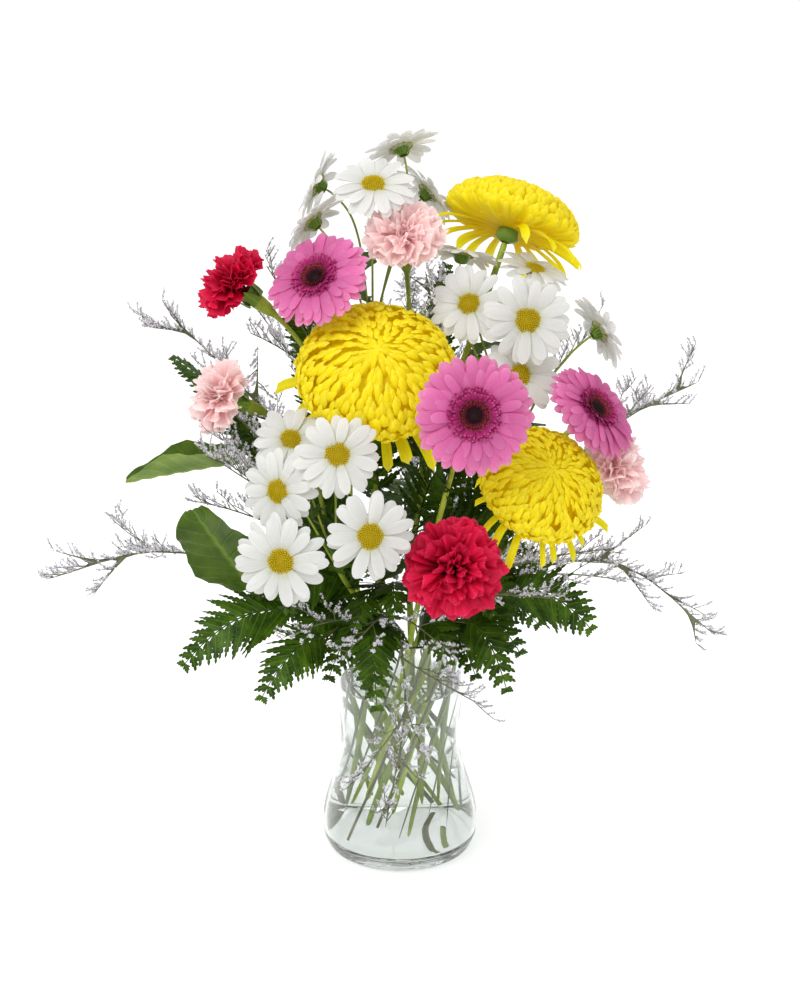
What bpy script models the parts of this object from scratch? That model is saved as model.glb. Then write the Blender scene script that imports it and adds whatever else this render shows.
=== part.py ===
"""Gerberas in a waisted glass vase, with chrysanthemums, carnations, daisy sprays, fern and sea lavender.

Metres, +Z up. The origin is the centre of the vase's foot, on the surface that it stands on.
A bearing is an angle round the vase seen from above: 0 is the front (-Y) and 90 the right (+X).
Places are given as (right, back, up), with up measured from the vase's rim.
"""

import math

import bmesh
import bpy
import numpy as np
from mathutils import Matrix, Vector
from mathutils.bvhtree import BVHTree

# Vase and water
VASE_HEIGHT = 0.203
RIM_RADIUS = 0.0610
WAIST_RADIUS = 0.0495
WAIST_HEIGHT = 0.100
BULGE_RADIUS = 0.0655
BULGE_HEIGHT = 0.020
FOOT_RADIUS = 0.0580
WALL = 0.0028
FLOOR = 0.0100
FLOOR_FILLET = 0.0060
WATER_LEVEL = 0.150
VASE_STEPS = 32
VASE_RINGS = 5

# Clearances
GAP = 0.0003
STEM_GAP = 0.0012
FOOT_LIFT = 0.0045
FOOT_SPREAD = 0.030
POCKET_GAP = 0.0005
OUTER_MARGIN = 0.0035
HEAD_GAP = 0.0010
FILLET_SHARES = (0.0, 0.12, 0.45)
FOOT_SHARES = (0.6, 0.25, 0.0)
FOOT_SHUFFLE = 11
FOOT_STEPS = 17

# Flowers
GERBERA_RADIUS = 0.0465
GERBERA_DISC_RADIUS = 0.0165
GERBERA_DEPTH = 0.017
GERBERA_PETALS = 16
DAISY_RADIUS = 0.0350
DAISY_DISC_RADIUS = 0.0095
DAISY_DEPTH = 0.011
DAISY_PETALS = 10
MUM_RADIUS = 0.0580
MUM_DEPTH = 0.052
CARNATION_RADIUS = 0.0370
CARNATION_DEPTH = 0.036
CALYX_LENGTH = 0.028
CALYX_RADIUS = 0.0075
CALYX_SHOULDER = 0.80
CALYX_TAPER = 0.85

# Outlines of the flowers. A notch is how far in the outline goes between petals, as a share of the radius.
# A face share is how deep a flower is below the middle of its face.
GERBERA_NOTCH = 0.10
DAISY_NOTCH = 0.16
PETAL_ENDS = 0.90
ROSETTE = [(0, 0, 1), (0, 1, 0.88), (1, 0, 0.82), (1, 0, 0.70), (0, 0.40, 0), (0, 0, 0)]
MUM_DOME = [
    (0, 1), (0.36, 0.96), (0.68, 0.82), (0.90, 0.60), (0.96, 0.38), (0.72, 0.16), (0.30, 0.05), (0, 0)]
MUM_STEPS = 22
MUM_WAVE = 0.04
CARNATION_DOME = [(0, 0.94), (0.45, 1), (0.82, 0.80), (0.95, 0.56), (0.70, 0.30), (0.20, 0), (0, 0)]
CARNATION_STEPS = 20
CARNATION_WAVE = 0.05
FACE_SHARE = 0.80
MUM_SHARE = 0.50
CARNATION_SHARE = 0.60

# Stems
GERBERA_STEM = 0.0026
MUM_STEM = 0.0030
CARNATION_STEM = 0.0021
DAISY_STEM = 0.0023
DAISY_TWIG = 0.0012
LEAF_STALK = 0.0014
FERN_STALK = 0.0012
LAVENDER_STEM = 0.0012
LAVENDER_TIP = 0.0006
LAVENDER_TWIG = 0.0006
STEM_POINT_SPACING = 0.025
STEM_NECK = 0.005
TWIG_SPACING = 0.008
END_PULL = 0.9
STALK_IN_BLADE = 0.006
STALK_AIM = 0.1

# Twigs of sea lavender: where they start, as one part in so many of the stem, how they turn round it,
# how they lean, and how they shorten towards the tip and where there is little room
TWIGS_FROM = 3
TWIG_TURN = 137.5
TWIG_AHEAD = 0.75
TWIG_ASIDE = 0.65
TWIG_RISE = 0.10
TWIG_TAPER = 0.55
TWIG_START = 0.004
TWIG_SHORTEST = 0.2
TWIG_CUT = 0.75

# How flowers and stems are moved until they clear each other
SPREAD_ROUNDS = 80
SPREAD_STEP = 0.0008
PART_ROUNDS = 140
PART_SHARE = 0.6
MOST_PUSH = 0.004
PROBE_SPACING = 0.003

# Leaves
FERN_THICKNESS = 0.0008
FERN_RIB = 0.0012
FERN_PAIRS = 8
FERN_OUTLINE = (math.radians(23.04), math.radians(144))
FERN_FULLNESS = 0.8
PINNA_ROOT = 0.55
PINNA_WAY = (0.90, 0.42, 0.10)
PINNA_WIDEST = 0.55
PINNA_SPREAD = 0.42
LEAF_THICKNESS = 0.0008
LEAF_ROWS = 7
LEAF_OUTLINE = (math.radians(10.8), math.radians(172.8))
LEAF_FULLNESS = 0.75
LEAF_FOLD = 0.22
LEAF_DROOP = 0.10

# Each ring of stems crosses the waist and the rim at its own distance from the axis, as a share of the
# vase's inner radius there, less the margin. Stems of one ring lean the same way round, so they never meet.
RINGS = {
    "outer": (0.92, 1.00),
    "middle": (0.60, 0.82),
    "inner": (0.29, 0.56),
}

# name: kind, size, place, (bearing, elevation) that it faces
HEADS = {
    "gerbera_front": ("gerbera", 1.00, (0.055, -0.147, 0.222), (3, 17)),
    "gerbera_left": ("gerbera", 0.93, (-0.065, -0.045, 0.304), (-30, 45)),
    "gerbera_right": ("gerbera", 0.93, (0.153, -0.055, 0.199), (56, 43)),
    "mum_centre": ("mum", 1.06, (-0.012, -0.065, 0.241), (3, 50)),
    "mum_right": ("mum", 0.84, (0.110, -0.100, 0.153), (25, 45)),
    "mum_top": ("mum", 0.93, (0.085, 0.045, 0.334), (146, 57)),
    "carnation_front": ("carnation", 1.08, (0.035, -0.150, 0.103), (0, 12)),
    "carnation_left": ("carnation", 0.88, (-0.135, -0.010, 0.292), (-79, 40)),
    "carnation_pale_top": ("carnation", 0.90, (0.002, -0.010, 0.332), (-5, 55)),
    "carnation_pale_left": ("carnation", 0.85, (-0.145, -0.050, 0.209), (-65, 25)),
    "carnation_pale_right": ("carnation", 0.88, (0.173, -0.050, 0.152), (66, 37)),
    "daisy_left_1": ("daisy", 1.05, (-0.073, -0.157, 0.116), (-8, 8)),
    "daisy_left_2": ("daisy", 1.02, (-0.036, -0.152, 0.132), (8, 12)),
    "daisy_left_3": ("daisy", 0.97, (-0.044, -0.138, 0.177), (5, 25)),
    "daisy_left_4": ("daisy", 0.94, (-0.092, -0.125, 0.158), (-25, 20)),
    "daisy_left_5": ("daisy", 0.92, (-0.072, -0.088, 0.191), (-10, 45)),
    "daisy_right_1": ("daisy", 0.95, (0.036, -0.033, 0.262), (-10, 30)),
    "daisy_right_2": ("daisy", 1.05, (0.099, -0.042, 0.267), (5, 20)),
    "daisy_right_3": ("daisy", 0.90, (0.051, 0.015, 0.306), (150, 65)),
    "daisy_right_4": ("daisy", 0.90, (0.104, 0.012, 0.297), (60, 70)),
    "daisy_right_5": ("daisy", 0.95, (0.094, -0.040, 0.223), (0, 20)),
    "daisy_right_6": ("daisy", 0.95, (0.160, 0.005, 0.246), (112, 24)),
    "daisy_top_1": ("daisy", 1.00, (-0.023, 0.003, 0.361), (5, 60)),
    "daisy_top_2": ("daisy", 0.92, (-0.066, 0.032, 0.358), (-105, 23)),
    "daisy_top_3": ("daisy", 0.92, (-0.066, 0.002, 0.336), (-118, 37)),
    "daisy_top_4": ("daisy", 0.92, (0.004, 0.052, 0.378), (-152, 52)),
    "daisy_top_5": ("daisy", 0.90, (0.027, 0.055, 0.350), (121, 36)),
}

# name of a single-flowered stem: ring, bearing at the rim
STEMS = {
    "gerbera_front": ("inner", 18),
    "gerbera_left": ("inner", -100),
    "gerbera_right": ("inner", 106),
    "mum_centre": ("inner", -32),
    "mum_right": ("inner", 62),
    "mum_top": ("inner", 165),
    "carnation_front": ("middle", 18),
    "carnation_left": ("middle", -136),
    "carnation_pale_top": ("middle", 148),
    "carnation_pale_left": ("middle", -84),
    "carnation_pale_right": ("middle", 72),
}

# name of a branched stem: ring, bearing at the rim, place of its fork, its flowers
SPRAYS = {
    "daisy_left": ("middle", -28, (-0.050, -0.085, 0.080), [f"daisy_left_{n}" for n in range(1, 6)]),
    "daisy_right": ("middle", 110, (0.090, -0.005, 0.160), [f"daisy_right_{n}" for n in range(1, 7)]),
    "daisy_top": ("middle", -166, (-0.022, 0.030, 0.240), [f"daisy_top_{n}" for n in range(1, 6)]),
}

# name: bearing at the rim, base of the blade, its tip, how high it arches, half width
FERNS = {
    "fern_front_left": (-20, (-0.026, -0.072, 0.030), (-0.018, -0.118, -0.030), 0.018, 0.030),
    "fern_front_right": (28, (0.052, -0.080, 0.030), (0.084, -0.122, -0.012), 0.016, 0.030),
    "fern_right": (52, (0.080, -0.058, 0.045), (0.152, -0.088, 0.026), 0.016, 0.036),
    "fern_left_low": (-68, (-0.085, -0.048, 0.026), (-0.174, -0.082, -0.008), 0.018, 0.042),
    "fern_left_mid": (-44, (-0.058, -0.086, 0.020), (-0.108, -0.142, -0.010), 0.014, 0.032),
    "fern_left_high": (-116, (-0.078, 0.040, 0.085), (-0.186, 0.046, 0.214), 0.014, 0.034),
    "fern_back_left": (-164, (-0.045, 0.085, 0.070), (-0.100, 0.190, 0.090), 0.030, 0.046),
    "fern_back_right": (148, (0.060, 0.080, 0.070), (0.125, 0.180, 0.085), 0.030, 0.046),
}

# name: bearing at the rim, base of the blade, its tip, half width, (bearing, elevation) of its upper side
LEAVES = {
    "leaf_broad": (-58, (-0.118, -0.060, 0.050), (-0.164, -0.078, 0.121), 0.037, (-40, 15)),
    "leaf_long": (-110, (-0.125, -0.008, 0.142), (-0.218, -0.006, 0.131), 0.017, (-20, 62)),
}

# name: ring, bearing at the rim, places that the main stem passes, length of its longest twig
LAVENDER = {
    "lavender_front": (
        "outer", 4, [(0.000, -0.080, 0.022), (0.004, -0.096, -0.040), (-0.012, -0.092, -0.145)], 0.050),
    "lavender_right_low": (
        "outer", 76, [(0.100, -0.025, 0.052), (0.180, -0.025, 0.058), (0.256, -0.025, -0.002)], 0.060),
    "lavender_right_high": (
        "outer", 100, [(0.112, 0.030, 0.090), (0.180, 0.022, 0.165), (0.240, 0.010, 0.202)], 0.060),
    "lavender_left_low": (
        "outer", -92, [(-0.105, -0.010, 0.045), (-0.200, -0.015, 0.066), (-0.288, -0.010, 0.040)], 0.060),
    "lavender_left_high": (
        "outer", -140, [(-0.080, 0.045, 0.120), (-0.130, 0.040, 0.190), (-0.184, 0.020, 0.255)], 0.060),
    "lavender_back": (
        "outer", 172, [(0.005, 0.095, 0.080), (0.010, 0.150, 0.170), (0.005, 0.165, 0.260)], 0.065),
    "lavender_middle": (
        "outer", 124, [(0.045, 0.055, 0.110), (0.035, 0.050, 0.210), (0.020, 0.030, 0.290)], 0.045),
}

UP = Vector((0, 0, 1))


# ---------------------------------------------------------------- places

def towards(bearing, elevation=0.0):
    """Unit vector at this bearing, raised by this elevation, both in degrees."""
    turn, rise = math.radians(bearing), math.radians(elevation)
    return Vector((math.sin(turn) * math.cos(rise), -math.cos(turn) * math.cos(rise), math.sin(rise)))


def place(point):
    """A (right, back, up) place from the tables, in the object's frame."""
    return Vector(point) + UP * VASE_HEIGHT


def wall_radius(z):
    """The vase's outer radius at height z."""
    if z < BULGE_HEIGHT:
        return FOOT_RADIUS + (BULGE_RADIUS - FOOT_RADIUS) * math.sin(math.pi / 2 * z / BULGE_HEIGHT)
    if z < WAIST_HEIGHT:
        share = (z - BULGE_HEIGHT) / (WAIST_HEIGHT - BULGE_HEIGHT)
        return BULGE_RADIUS + (WAIST_RADIUS - BULGE_RADIUS) * (1 - math.cos(math.pi * share)) / 2
    share = (z - WAIST_HEIGHT) / (VASE_HEIGHT - WAIST_HEIGHT)
    return WAIST_RADIUS + (RIM_RADIUS - WAIST_RADIUS) * share**1.5


def inner_radius(z):
    """The vase's inner radius at height z, with a fillet where the wall meets the floor."""
    above = (z - FLOOR) / FLOOR_FILLET
    fillet = FLOOR_FILLET * (1 - math.sqrt(max(0.0, 1 - (1 - above) ** 2))) if above < 1 else 0.0
    return wall_radius(z) - WALL - fillet


def straight_run(ring, bearing):
    """Where a stem stands on the floor, and where it passes the rim. Between them it is straight."""
    waist_share, rim_share = RINGS[ring]
    at_waist = waist_share * (inner_radius(WAIST_HEIGHT) - OUTER_MARGIN)
    at_rim = rim_share * (inner_radius(VASE_HEIGHT) - OUTER_MARGIN)
    turned = math.degrees(math.acos(at_waist / at_rim))
    waist = towards(bearing - turned) * at_waist + UP * WAIST_HEIGHT
    rim = towards(bearing) * at_rim + UP * VASE_HEIGHT
    shuffled = abs(bearing) * FOOT_SHUFFLE % FOOT_STEPS
    foot_height = FLOOR + FOOT_LIFT + FOOT_SPREAD * shuffled / (FOOT_STEPS - 1)
    drop = (WAIST_HEIGHT - foot_height) / (VASE_HEIGHT - WAIST_HEIGHT)
    foot = waist + (waist - rim) * drop
    return foot, rim


def smooth_line(corners, start, end, spacing):
    """Points along a smooth curve through the corners, which leaves along start and arrives along end."""
    slopes = [(corners[i + 1] - corners[i - 1]) / 2 for i in range(1, len(corners) - 1)]
    slopes = [start * (corners[1] - corners[0]).length * END_PULL, *slopes]
    slopes.append(end * (corners[-1] - corners[-2]).length * END_PULL)
    points = [corners[0].copy()]
    for i in range(len(corners) - 1):
        a, b = corners[i], corners[i + 1]
        pieces = max(2, math.ceil((b - a).length / spacing))
        for k in range(1, pieces + 1):
            t = k / pieces
            points.append(
                a * (2 * t**3 - 3 * t**2 + 1)
                + slopes[i] * (t**3 - 2 * t**2 + t)
                + b * (3 * t**2 - 2 * t**3)
                + slopes[i + 1] * (t**3 - t**2)
            )
    return points


# ---------------------------------------------------------------- Blender helpers

def start_scene():
    for obj in list(bpy.data.objects):
        bpy.data.objects.remove(obj)
    made = {}
    for name, hidden in (("flower_arrangement", False), ("cutters", True)):
        made[name] = bpy.data.collections.new(name)
        made[name].hide_render = hidden
        bpy.context.scene.collection.children.link(made[name])
    return made["flower_arrangement"], made["cutters"]


PARTS, CUTTERS = start_scene()


def material(name, colour, roughness=0.5, alpha=1.0):
    found = bpy.data.materials.get(name)
    if found:
        return found
    made = bpy.data.materials.new(name)
    made.use_nodes = True
    shader = made.node_tree.nodes["Principled BSDF"]
    shader.inputs["Base Color"].default_value = (*colour, 1.0)
    shader.inputs["Roughness"].default_value = roughness
    shader.inputs["Metallic"].default_value = 0.0
    shader.inputs["Alpha"].default_value = alpha
    return made


def stem_green():
    return material("stem_green", (0.16, 0.30, 0.07), 0.55)


def add_object(name, data, finish, collection=None):
    obj = bpy.data.objects.new(name, data)
    (collection or PARTS).objects.link(obj)
    if finish and not data.materials:
        data.materials.append(finish)
    return obj


def mesh_from(bm, name, smooth_angle=40):
    bmesh.ops.recalc_face_normals(bm, faces=bm.faces)
    mesh = bpy.data.meshes.new(name)
    bm.to_mesh(mesh)
    bm.free()
    mesh.shade_smooth()
    mesh.set_sharp_from_angle(angle=math.radians(smooth_angle))
    return mesh


def tube(name, points, radii, finish, sides=6):
    """A closed tube along the points, as a curve made a mesh so that others can join it."""
    curve = bpy.data.curves.new(name, "CURVE")
    curve.dimensions = "3D"
    curve.bevel_depth = 1.0
    curve.bevel_resolution = (sides - 4) // 2
    curve.use_fill_caps = True
    spline = curve.splines.new("POLY")
    spline.points.add(len(points) - 1)
    for target, point, radius in zip(spline.points, points, radii):
        target.co = (*point, 1.0)
        target.radius = radius
    guide = add_object(name + "_line", curve, finish)
    bpy.context.view_layer.update()
    evaluated = guide.evaluated_get(bpy.context.evaluated_depsgraph_get())
    mesh = bpy.data.meshes.new_from_object(evaluated)
    bm = bmesh.new()
    bm.from_mesh(mesh)
    bmesh.ops.remove_doubles(bm, verts=bm.verts, dist=1e-6)
    bpy.data.objects.remove(guide)
    bpy.data.curves.remove(curve)
    return add_object(name, mesh_from(bm, name), finish)


def union(first, others):
    """Joins the other bodies to the first with one Boolean, and leaves one plain mesh."""
    if not others:
        return first
    group = bpy.data.collections.new(first.name + "_pieces")
    bpy.context.scene.collection.children.link(group)
    for other in others:
        PARTS.objects.unlink(other)
        group.objects.link(other)
    joiner = first.modifiers.new("join", "BOOLEAN")
    joiner.operation = "UNION"
    joiner.operand_type = "COLLECTION"
    joiner.collection = group
    joiner.solver = "EXACT"
    bpy.context.view_layer.update()
    evaluated = first.evaluated_get(bpy.context.evaluated_depsgraph_get())
    joined = bpy.data.meshes.new_from_object(evaluated)
    first.modifiers.clear()
    first.data = joined
    for other in others:
        bpy.data.objects.remove(other)
    bpy.data.collections.remove(group)
    return first


def turned(profile, steps):
    """A turned solid: the profile starts and ends on the Z axis, and runs down its outer side."""
    bm = bmesh.new()
    corners = [bm.verts.new((radius, 0, z)) for radius, z in profile]
    edges = [bm.edges.new(pair) for pair in zip(corners, corners[1:])]
    bmesh.ops.spin(bm, geom=corners + edges, axis=UP, cent=(0, 0, 0), angle=2 * math.pi, steps=steps,
                   use_merge=True)
    bmesh.ops.remove_doubles(bm, verts=bm.verts, dist=1e-6)
    return bm


def tree_of(obj):
    """A search tree of the object's surface, in the object's frame of the whole."""
    mesh = obj.data
    points = [obj.matrix_world @ v.co for v in mesh.vertices]
    return BVHTree.FromPolygons(points, [p.vertices[:] for p in mesh.polygons])


# ---------------------------------------------------------------- flower heads, facing +Z, base at the origin

def rosette(name, petals, radius, disc_radius, depth, notch):
    """A ring of petals round a raised disc, on a tapered calyx."""
    profile = [(radius * out + disc_radius * disc, depth * up) for out, disc, up in ROSETTE]
    steps = 2 * petals
    bm = turned(profile, steps)
    for vert in bm.verts:
        if vert.co.xy.length < radius * PETAL_ENDS:
            continue
        turn = math.atan2(vert.co.y, vert.co.x)
        if round(turn / (2 * math.pi) * steps) % 2:
            vert.co.xy *= 1 - notch
    return mesh_from(bm, name)


def ruffled(name, rings, steps, wave):
    """A dome of rings (radius, height) whose outline goes in and out, half a wave further on each ring."""
    bm = turned(rings, steps)
    heights = sorted({round(z, 5) for _, z in rings})
    for vert in bm.verts:
        if vert.co.xy.length < 1e-5:
            continue
        ring = heights.index(min(heights, key=lambda z: abs(z - vert.co.z)))
        turn = math.atan2(vert.co.y, vert.co.x)
        side = (round(turn / (2 * math.pi) * steps) + ring) % 2
        vert.co.xy *= 1 + (wave if side else -wave)
    return mesh_from(bm, name)


def gerbera_mesh(name, size):
    return rosette(name, GERBERA_PETALS, GERBERA_RADIUS * size, GERBERA_DISC_RADIUS * size,
                   GERBERA_DEPTH * size, GERBERA_NOTCH)


def daisy_mesh(name, size):
    return rosette(name, DAISY_PETALS, DAISY_RADIUS * size, DAISY_DISC_RADIUS * size,
                   DAISY_DEPTH * size, DAISY_NOTCH)


def dome_rings(radius, depth, shape):
    return [(radius * across, depth * up) for across, up in shape]


def mum_mesh(name, size):
    rings = dome_rings(MUM_RADIUS * size, MUM_DEPTH * size, MUM_DOME)
    return ruffled(name, rings, MUM_STEPS, MUM_WAVE)


def carnation_mesh(name, size):
    rings = dome_rings(CARNATION_RADIUS * size, CARNATION_DEPTH * size, CARNATION_DOME)
    return ruffled(name, rings, CARNATION_STEPS, CARNATION_WAVE)


KINDS = {
    # kind: mesh, depth below the flower's visible centre, stem radius, colour
    "gerbera": (gerbera_mesh, GERBERA_DEPTH * FACE_SHARE, GERBERA_STEM, (0.80, 0.16, 0.44)),
    "daisy": (daisy_mesh, DAISY_DEPTH * FACE_SHARE, DAISY_TWIG, (0.86, 0.86, 0.82)),
    "mum": (mum_mesh, MUM_DEPTH * MUM_SHARE, MUM_STEM, (0.95, 0.68, 0.02)),
    "carnation": (carnation_mesh, CARNATION_DEPTH * CARNATION_SHARE, CARNATION_STEM, (0.85, 0.06, 0.14)),
}


def make_heads():
    """Every flower head at its place."""
    heads = {}
    for name, (kind, size, where, facing) in HEADS.items():
        make, depth, _, colour = KINDS[kind]
        if "pale" in name:
            finish = material("carnation_pale", (0.90, 0.46, 0.44), 0.6)
        else:
            finish = material(kind, colour, 0.6)
        head = add_object(name + "_head", make(name, size), finish)
        normal = towards(*facing)
        head.rotation_mode = "QUATERNION"
        head.rotation_quaternion = normal.to_track_quat("Z", "Y")
        head.location = place(where) - normal * depth * size
        heads[name] = head
    bpy.context.view_layer.update()
    return heads


def spread_heads(heads, obstacles):
    """Nudges heads that touch apart until none do, so that a change of size still fits."""
    names = list(heads)
    reach = {n: max(v.co.length for v in heads[n].data.vertices) for n in names}
    shifts = {n: Vector() for n in names}

    def swollen(name):
        head = heads[name]
        middle = sum((v.co for v in head.data.vertices), Vector()) / len(head.data.vertices)
        points = []
        for vert in head.data.vertices:
            out = vert.co - middle
            grown = vert.co + out.normalized() * HEAD_GAP
            points.append(head.matrix_world @ grown + shifts[name])
        return BVHTree.FromPolygons(points, [p.vertices[:] for p in head.data.polygons])

    trees = {n: swollen(n) for n in names}
    for _ in range(SPREAD_ROUNDS):
        moved = set()
        for i, a in enumerate(names):
            for b in names[i + 1:]:
                apart = (heads[a].location + shifts[a]) - (heads[b].location + shifts[b])
                if apart.length > reach[a] + reach[b] + HEAD_GAP or not trees[a].overlap(trees[b]):
                    continue
                shifts[a] += apart.normalized() * SPREAD_STEP
                shifts[b] -= apart.normalized() * SPREAD_STEP
                moved |= {a, b}
        for a in names:
            for centre, tree in obstacles:
                if trees[a].overlap(tree):
                    away = (heads[a].location + shifts[a]) - centre
                    shifts[a] += away.normalized() * SPREAD_STEP * 2
                    moved.add(a)
        if not moved:
            break
        for name in sorted(moved):
            trees[name] = swollen(name)
    for name, head in heads.items():
        head.location += shifts[name]
    bpy.context.view_layer.update()


# ---------------------------------------------------------------- stems

class Run:
    """The centreline of one stem or twig. Points before first and after last stay where they are."""

    def __init__(self, name, points, radius, first, group, own=(), held=1):
        self.name = name
        self.points = points
        self.radius = radius
        self.first = first
        self.last = len(points) - 1 - held
        self.group = group
        self.own = own


def head_base(heads, name):
    """The middle of the head's underside and the way that it faces."""
    matrix = heads[name].matrix_world
    return matrix.translation.copy(), (matrix.to_quaternion() @ UP).normalized()


def necked_line(start, leave, end, facing):
    """A smooth line whose last few millimetres run straight into the underside of a flower."""
    neck = end - facing * STEM_NECK
    return [*smooth_line([start, neck], leave, facing, STEM_POINT_SPACING), end]


def single_run(heads, name):
    kind = HEADS[name][0]
    radius = KINDS[kind][2]
    foot, rim = straight_run(*STEMS[name])
    base, facing = head_base(heads, name)
    end = base - facing * GAP
    if kind == "carnation":
        neck = end - facing * CALYX_LENGTH
        points = smooth_line([rim, neck], (rim - foot).normalized(), facing, STEM_POINT_SPACING)
        points += [end - facing * CALYX_LENGTH * CALYX_SHOULDER, end]
        return Run(name, [foot, *points], radius, 2, name, {name}, held=3)
    points = necked_line(rim, (rim - foot).normalized(), end, facing)
    return Run(name, [foot, *points], radius, 2, name, {name}, held=2)


def spray_runs(heads, name):
    """The main stem of a spray and a twig from it to each of its flowers."""
    ring, bearing, fork, flowers = SPRAYS[name]
    foot, rim = straight_run(ring, bearing)
    fork = place(fork)
    bases = {flower: head_base(heads, flower) for flower in flowers}
    middle = sum((base for base, _ in bases.values()), Vector()) / len(bases)
    onward = (middle - fork).normalized()
    main = smooth_line([rim, fork], (rim - foot).normalized(), onward, STEM_POINT_SPACING)
    runs = [Run(name, [foot, *main], DAISY_STEM, 2, name)]
    for flower, (base, facing) in bases.items():
        leave = (base - fork).normalized()
        line = necked_line(fork, leave, base - facing * GAP, facing)
        runs.append(Run(flower, line, DAISY_TWIG, 1, name, {flower}, held=2))
    return runs


def lavender_run(name):
    ring, bearing, via, _ = LAVENDER[name]
    foot, rim = straight_run(ring, bearing)
    corners = [rim, *(place(point) for point in via)]
    line = smooth_line(corners, (rim - foot).normalized(), (corners[-1] - corners[-2]).normalized(),
                       STEM_POINT_SPACING)
    return Run(name, [foot, *line], LAVENDER_STEM, 2, name)


def nearest_on_segments(a0, a1, b0, b1):
    """Shares along segments a and b, as arrays, of their closest points."""
    u, v, w = a1 - a0, b1 - b0, a0 - b0
    uu, uv, vv = (u * u).sum(-1), (u * v).sum(-1), (v * v).sum(-1)
    uw, vw = (u * w).sum(-1), (v * w).sum(-1)
    bottom = np.maximum(uu * vv - uv * uv, 1e-12)
    s = np.clip((uv * vw - vv * uw) / bottom, 0, 1)
    t = np.clip((uv * s + vw) / np.maximum(vv, 1e-12), 0, 1)
    s = np.clip((uv * t - uw) / np.maximum(uu, 1e-12), 0, 1)
    return s, t


def part_runs(runs, obstacles):
    """Moves the free points of the runs until stems clear each other and every head and blade."""
    points = [np.array([p[:] for p in run.points]) for run in runs]
    offsets = np.cumsum([0, *(len(p) for p in points)])
    flat = np.concatenate(points)
    segments = [(offsets[i] + k, i) for i, p in enumerate(points) for k in range(len(p) - 1)]
    start = np.array([s for s, _ in segments])
    owner = np.array([i for _, i in segments])
    radius = np.array([runs[i].radius for i in owner])
    names = sorted({run.group for run in runs})
    groups = np.array([names.index(runs[i].group) for i in owner])
    pair_a, pair_b = np.triu_indices(len(start), 1)
    keep = groups[pair_a] != groups[pair_b]
    pair_a, pair_b = pair_a[keep], pair_b[keep]
    wanted = radius[pair_a] + radius[pair_b] + STEM_GAP
    free = np.zeros(len(flat), bool)
    for i, run in enumerate(runs):
        free[offsets[i] + run.first: offsets[i] + run.last + 1] = True
    flat_owner = np.repeat(np.arange(len(runs)), [len(p) for p in points])
    for _ in range(PART_ROUNDS):
        push = np.zeros_like(flat)
        a0, b0 = flat[start[pair_a]], flat[start[pair_b]]
        a1, b1 = flat[start[pair_a] + 1], flat[start[pair_b] + 1]
        s, t = nearest_on_segments(a0, a1, b0, b1)
        apart = (a0 + (a1 - a0) * s[:, None]) - (b0 + (b1 - b0) * t[:, None])
        distance = np.linalg.norm(apart, axis=1)
        hit = np.flatnonzero(distance < wanted)
        away = apart[hit] / np.maximum(distance[hit], 1e-9)[:, None]
        away *= ((wanted[hit] - distance[hit]) * PART_SHARE)[:, None]
        for index, share, way in (
            (start[pair_a][hit], 1 - s[hit], 1), (start[pair_a][hit] + 1, s[hit], 1),
            (start[pair_b][hit], 1 - t[hit], -1), (start[pair_b][hit] + 1, t[hit], -1),
        ):
            np.add.at(push, index, away * share[:, None] * way)
        for index in np.flatnonzero(free):
            run = runs[flat_owner[index]]
            for probe, share in ((flat[index], 1.0), ((flat[index] + flat[index - 1]) / 2, 0.7)):
                near_head = index - offsets[flat_owner[index]] >= len(run.points) - 3
                for owner_name, middle, reach, tree in obstacles:
                    if np.linalg.norm(probe - middle) > reach + run.radius + STEM_GAP:
                        continue
                    if near_head and owner_name in run.own:
                        continue
                    found, normal, _, gap = tree.find_nearest(Vector(probe))
                    inside = (Vector(probe) - found).dot(normal) < 0
                    room = run.radius + STEM_GAP
                    if inside:
                        push[index] += np.array(normal) * min(gap + room, MOST_PUSH) * share
                    elif gap < room:
                        push[index] += np.array(normal) * (room - gap) * share
        still = not len(hit) and not np.abs(push).max() > 1e-5
        flat[free] += push[free]
        if still:
            break
    for i, run in enumerate(runs):
        run.points = [Vector(p) for p in flat[offsets[i]:offsets[i + 1]]]


def run_radii(run, tip=None):
    if tip is None:
        return [run.radius] * len(run.points)
    count = len(run.points) - 1
    return [run.radius + (tip - run.radius) * k / count for k in range(count + 1)]


def make_single_stem(run):
    radii = run_radii(run)
    if HEADS[run.name][0] == "carnation":
        radii[-3:] = [run.radius, CALYX_RADIUS * CALYX_TAPER, CALYX_RADIUS]
    return tube(run.name + "_stem", run.points, radii, stem_green(), sides=6)


def point_before_end(points, distance):
    """The point on the line at this distance back from its end."""
    for a, b in zip(reversed(points), reversed(points[:-1])):
        step = (b - a).length
        if distance < step:
            return a.lerp(b, distance / step)
        distance -= step
    return points[0]


def make_spray_stem(name, runs):
    trunk = runs[0].points
    for order, run in enumerate(runs[1:]):
        run.points[0] = point_before_end(trunk, STEM_GAP + order * TWIG_SPACING)
    main = tube(name + "_stem", trunk, run_radii(runs[0]), stem_green(), sides=6)
    twigs = [
        tube(run.name + "_twig", run.points, run_radii(run), stem_green(), sides=4) for run in runs[1:]
    ]
    return union(main, twigs)


# ---------------------------------------------------------------- leaves

def arch(base, tip, lift, share):
    """A point along an arching rib, at this share of the way from base to tip."""
    return base.lerp(tip, share) + UP * lift * 4 * share * (1 - share)


def solid_sheet(bm, name, thickness, finish):
    """A closed solid from an open surface, by a Solidify modifier that is then applied."""
    sheet = add_object(name, mesh_from(bm, name), finish)
    thick = sheet.modifiers.new("thickness", "SOLIDIFY")
    thick.thickness = thickness
    thick.offset = 0.0
    bpy.context.view_layer.update()
    evaluated = sheet.evaluated_get(bpy.context.evaluated_depsgraph_get())
    solid = bpy.data.meshes.new_from_object(evaluated)
    sheet.modifiers.clear()
    sheet.data = solid
    return sheet


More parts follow.
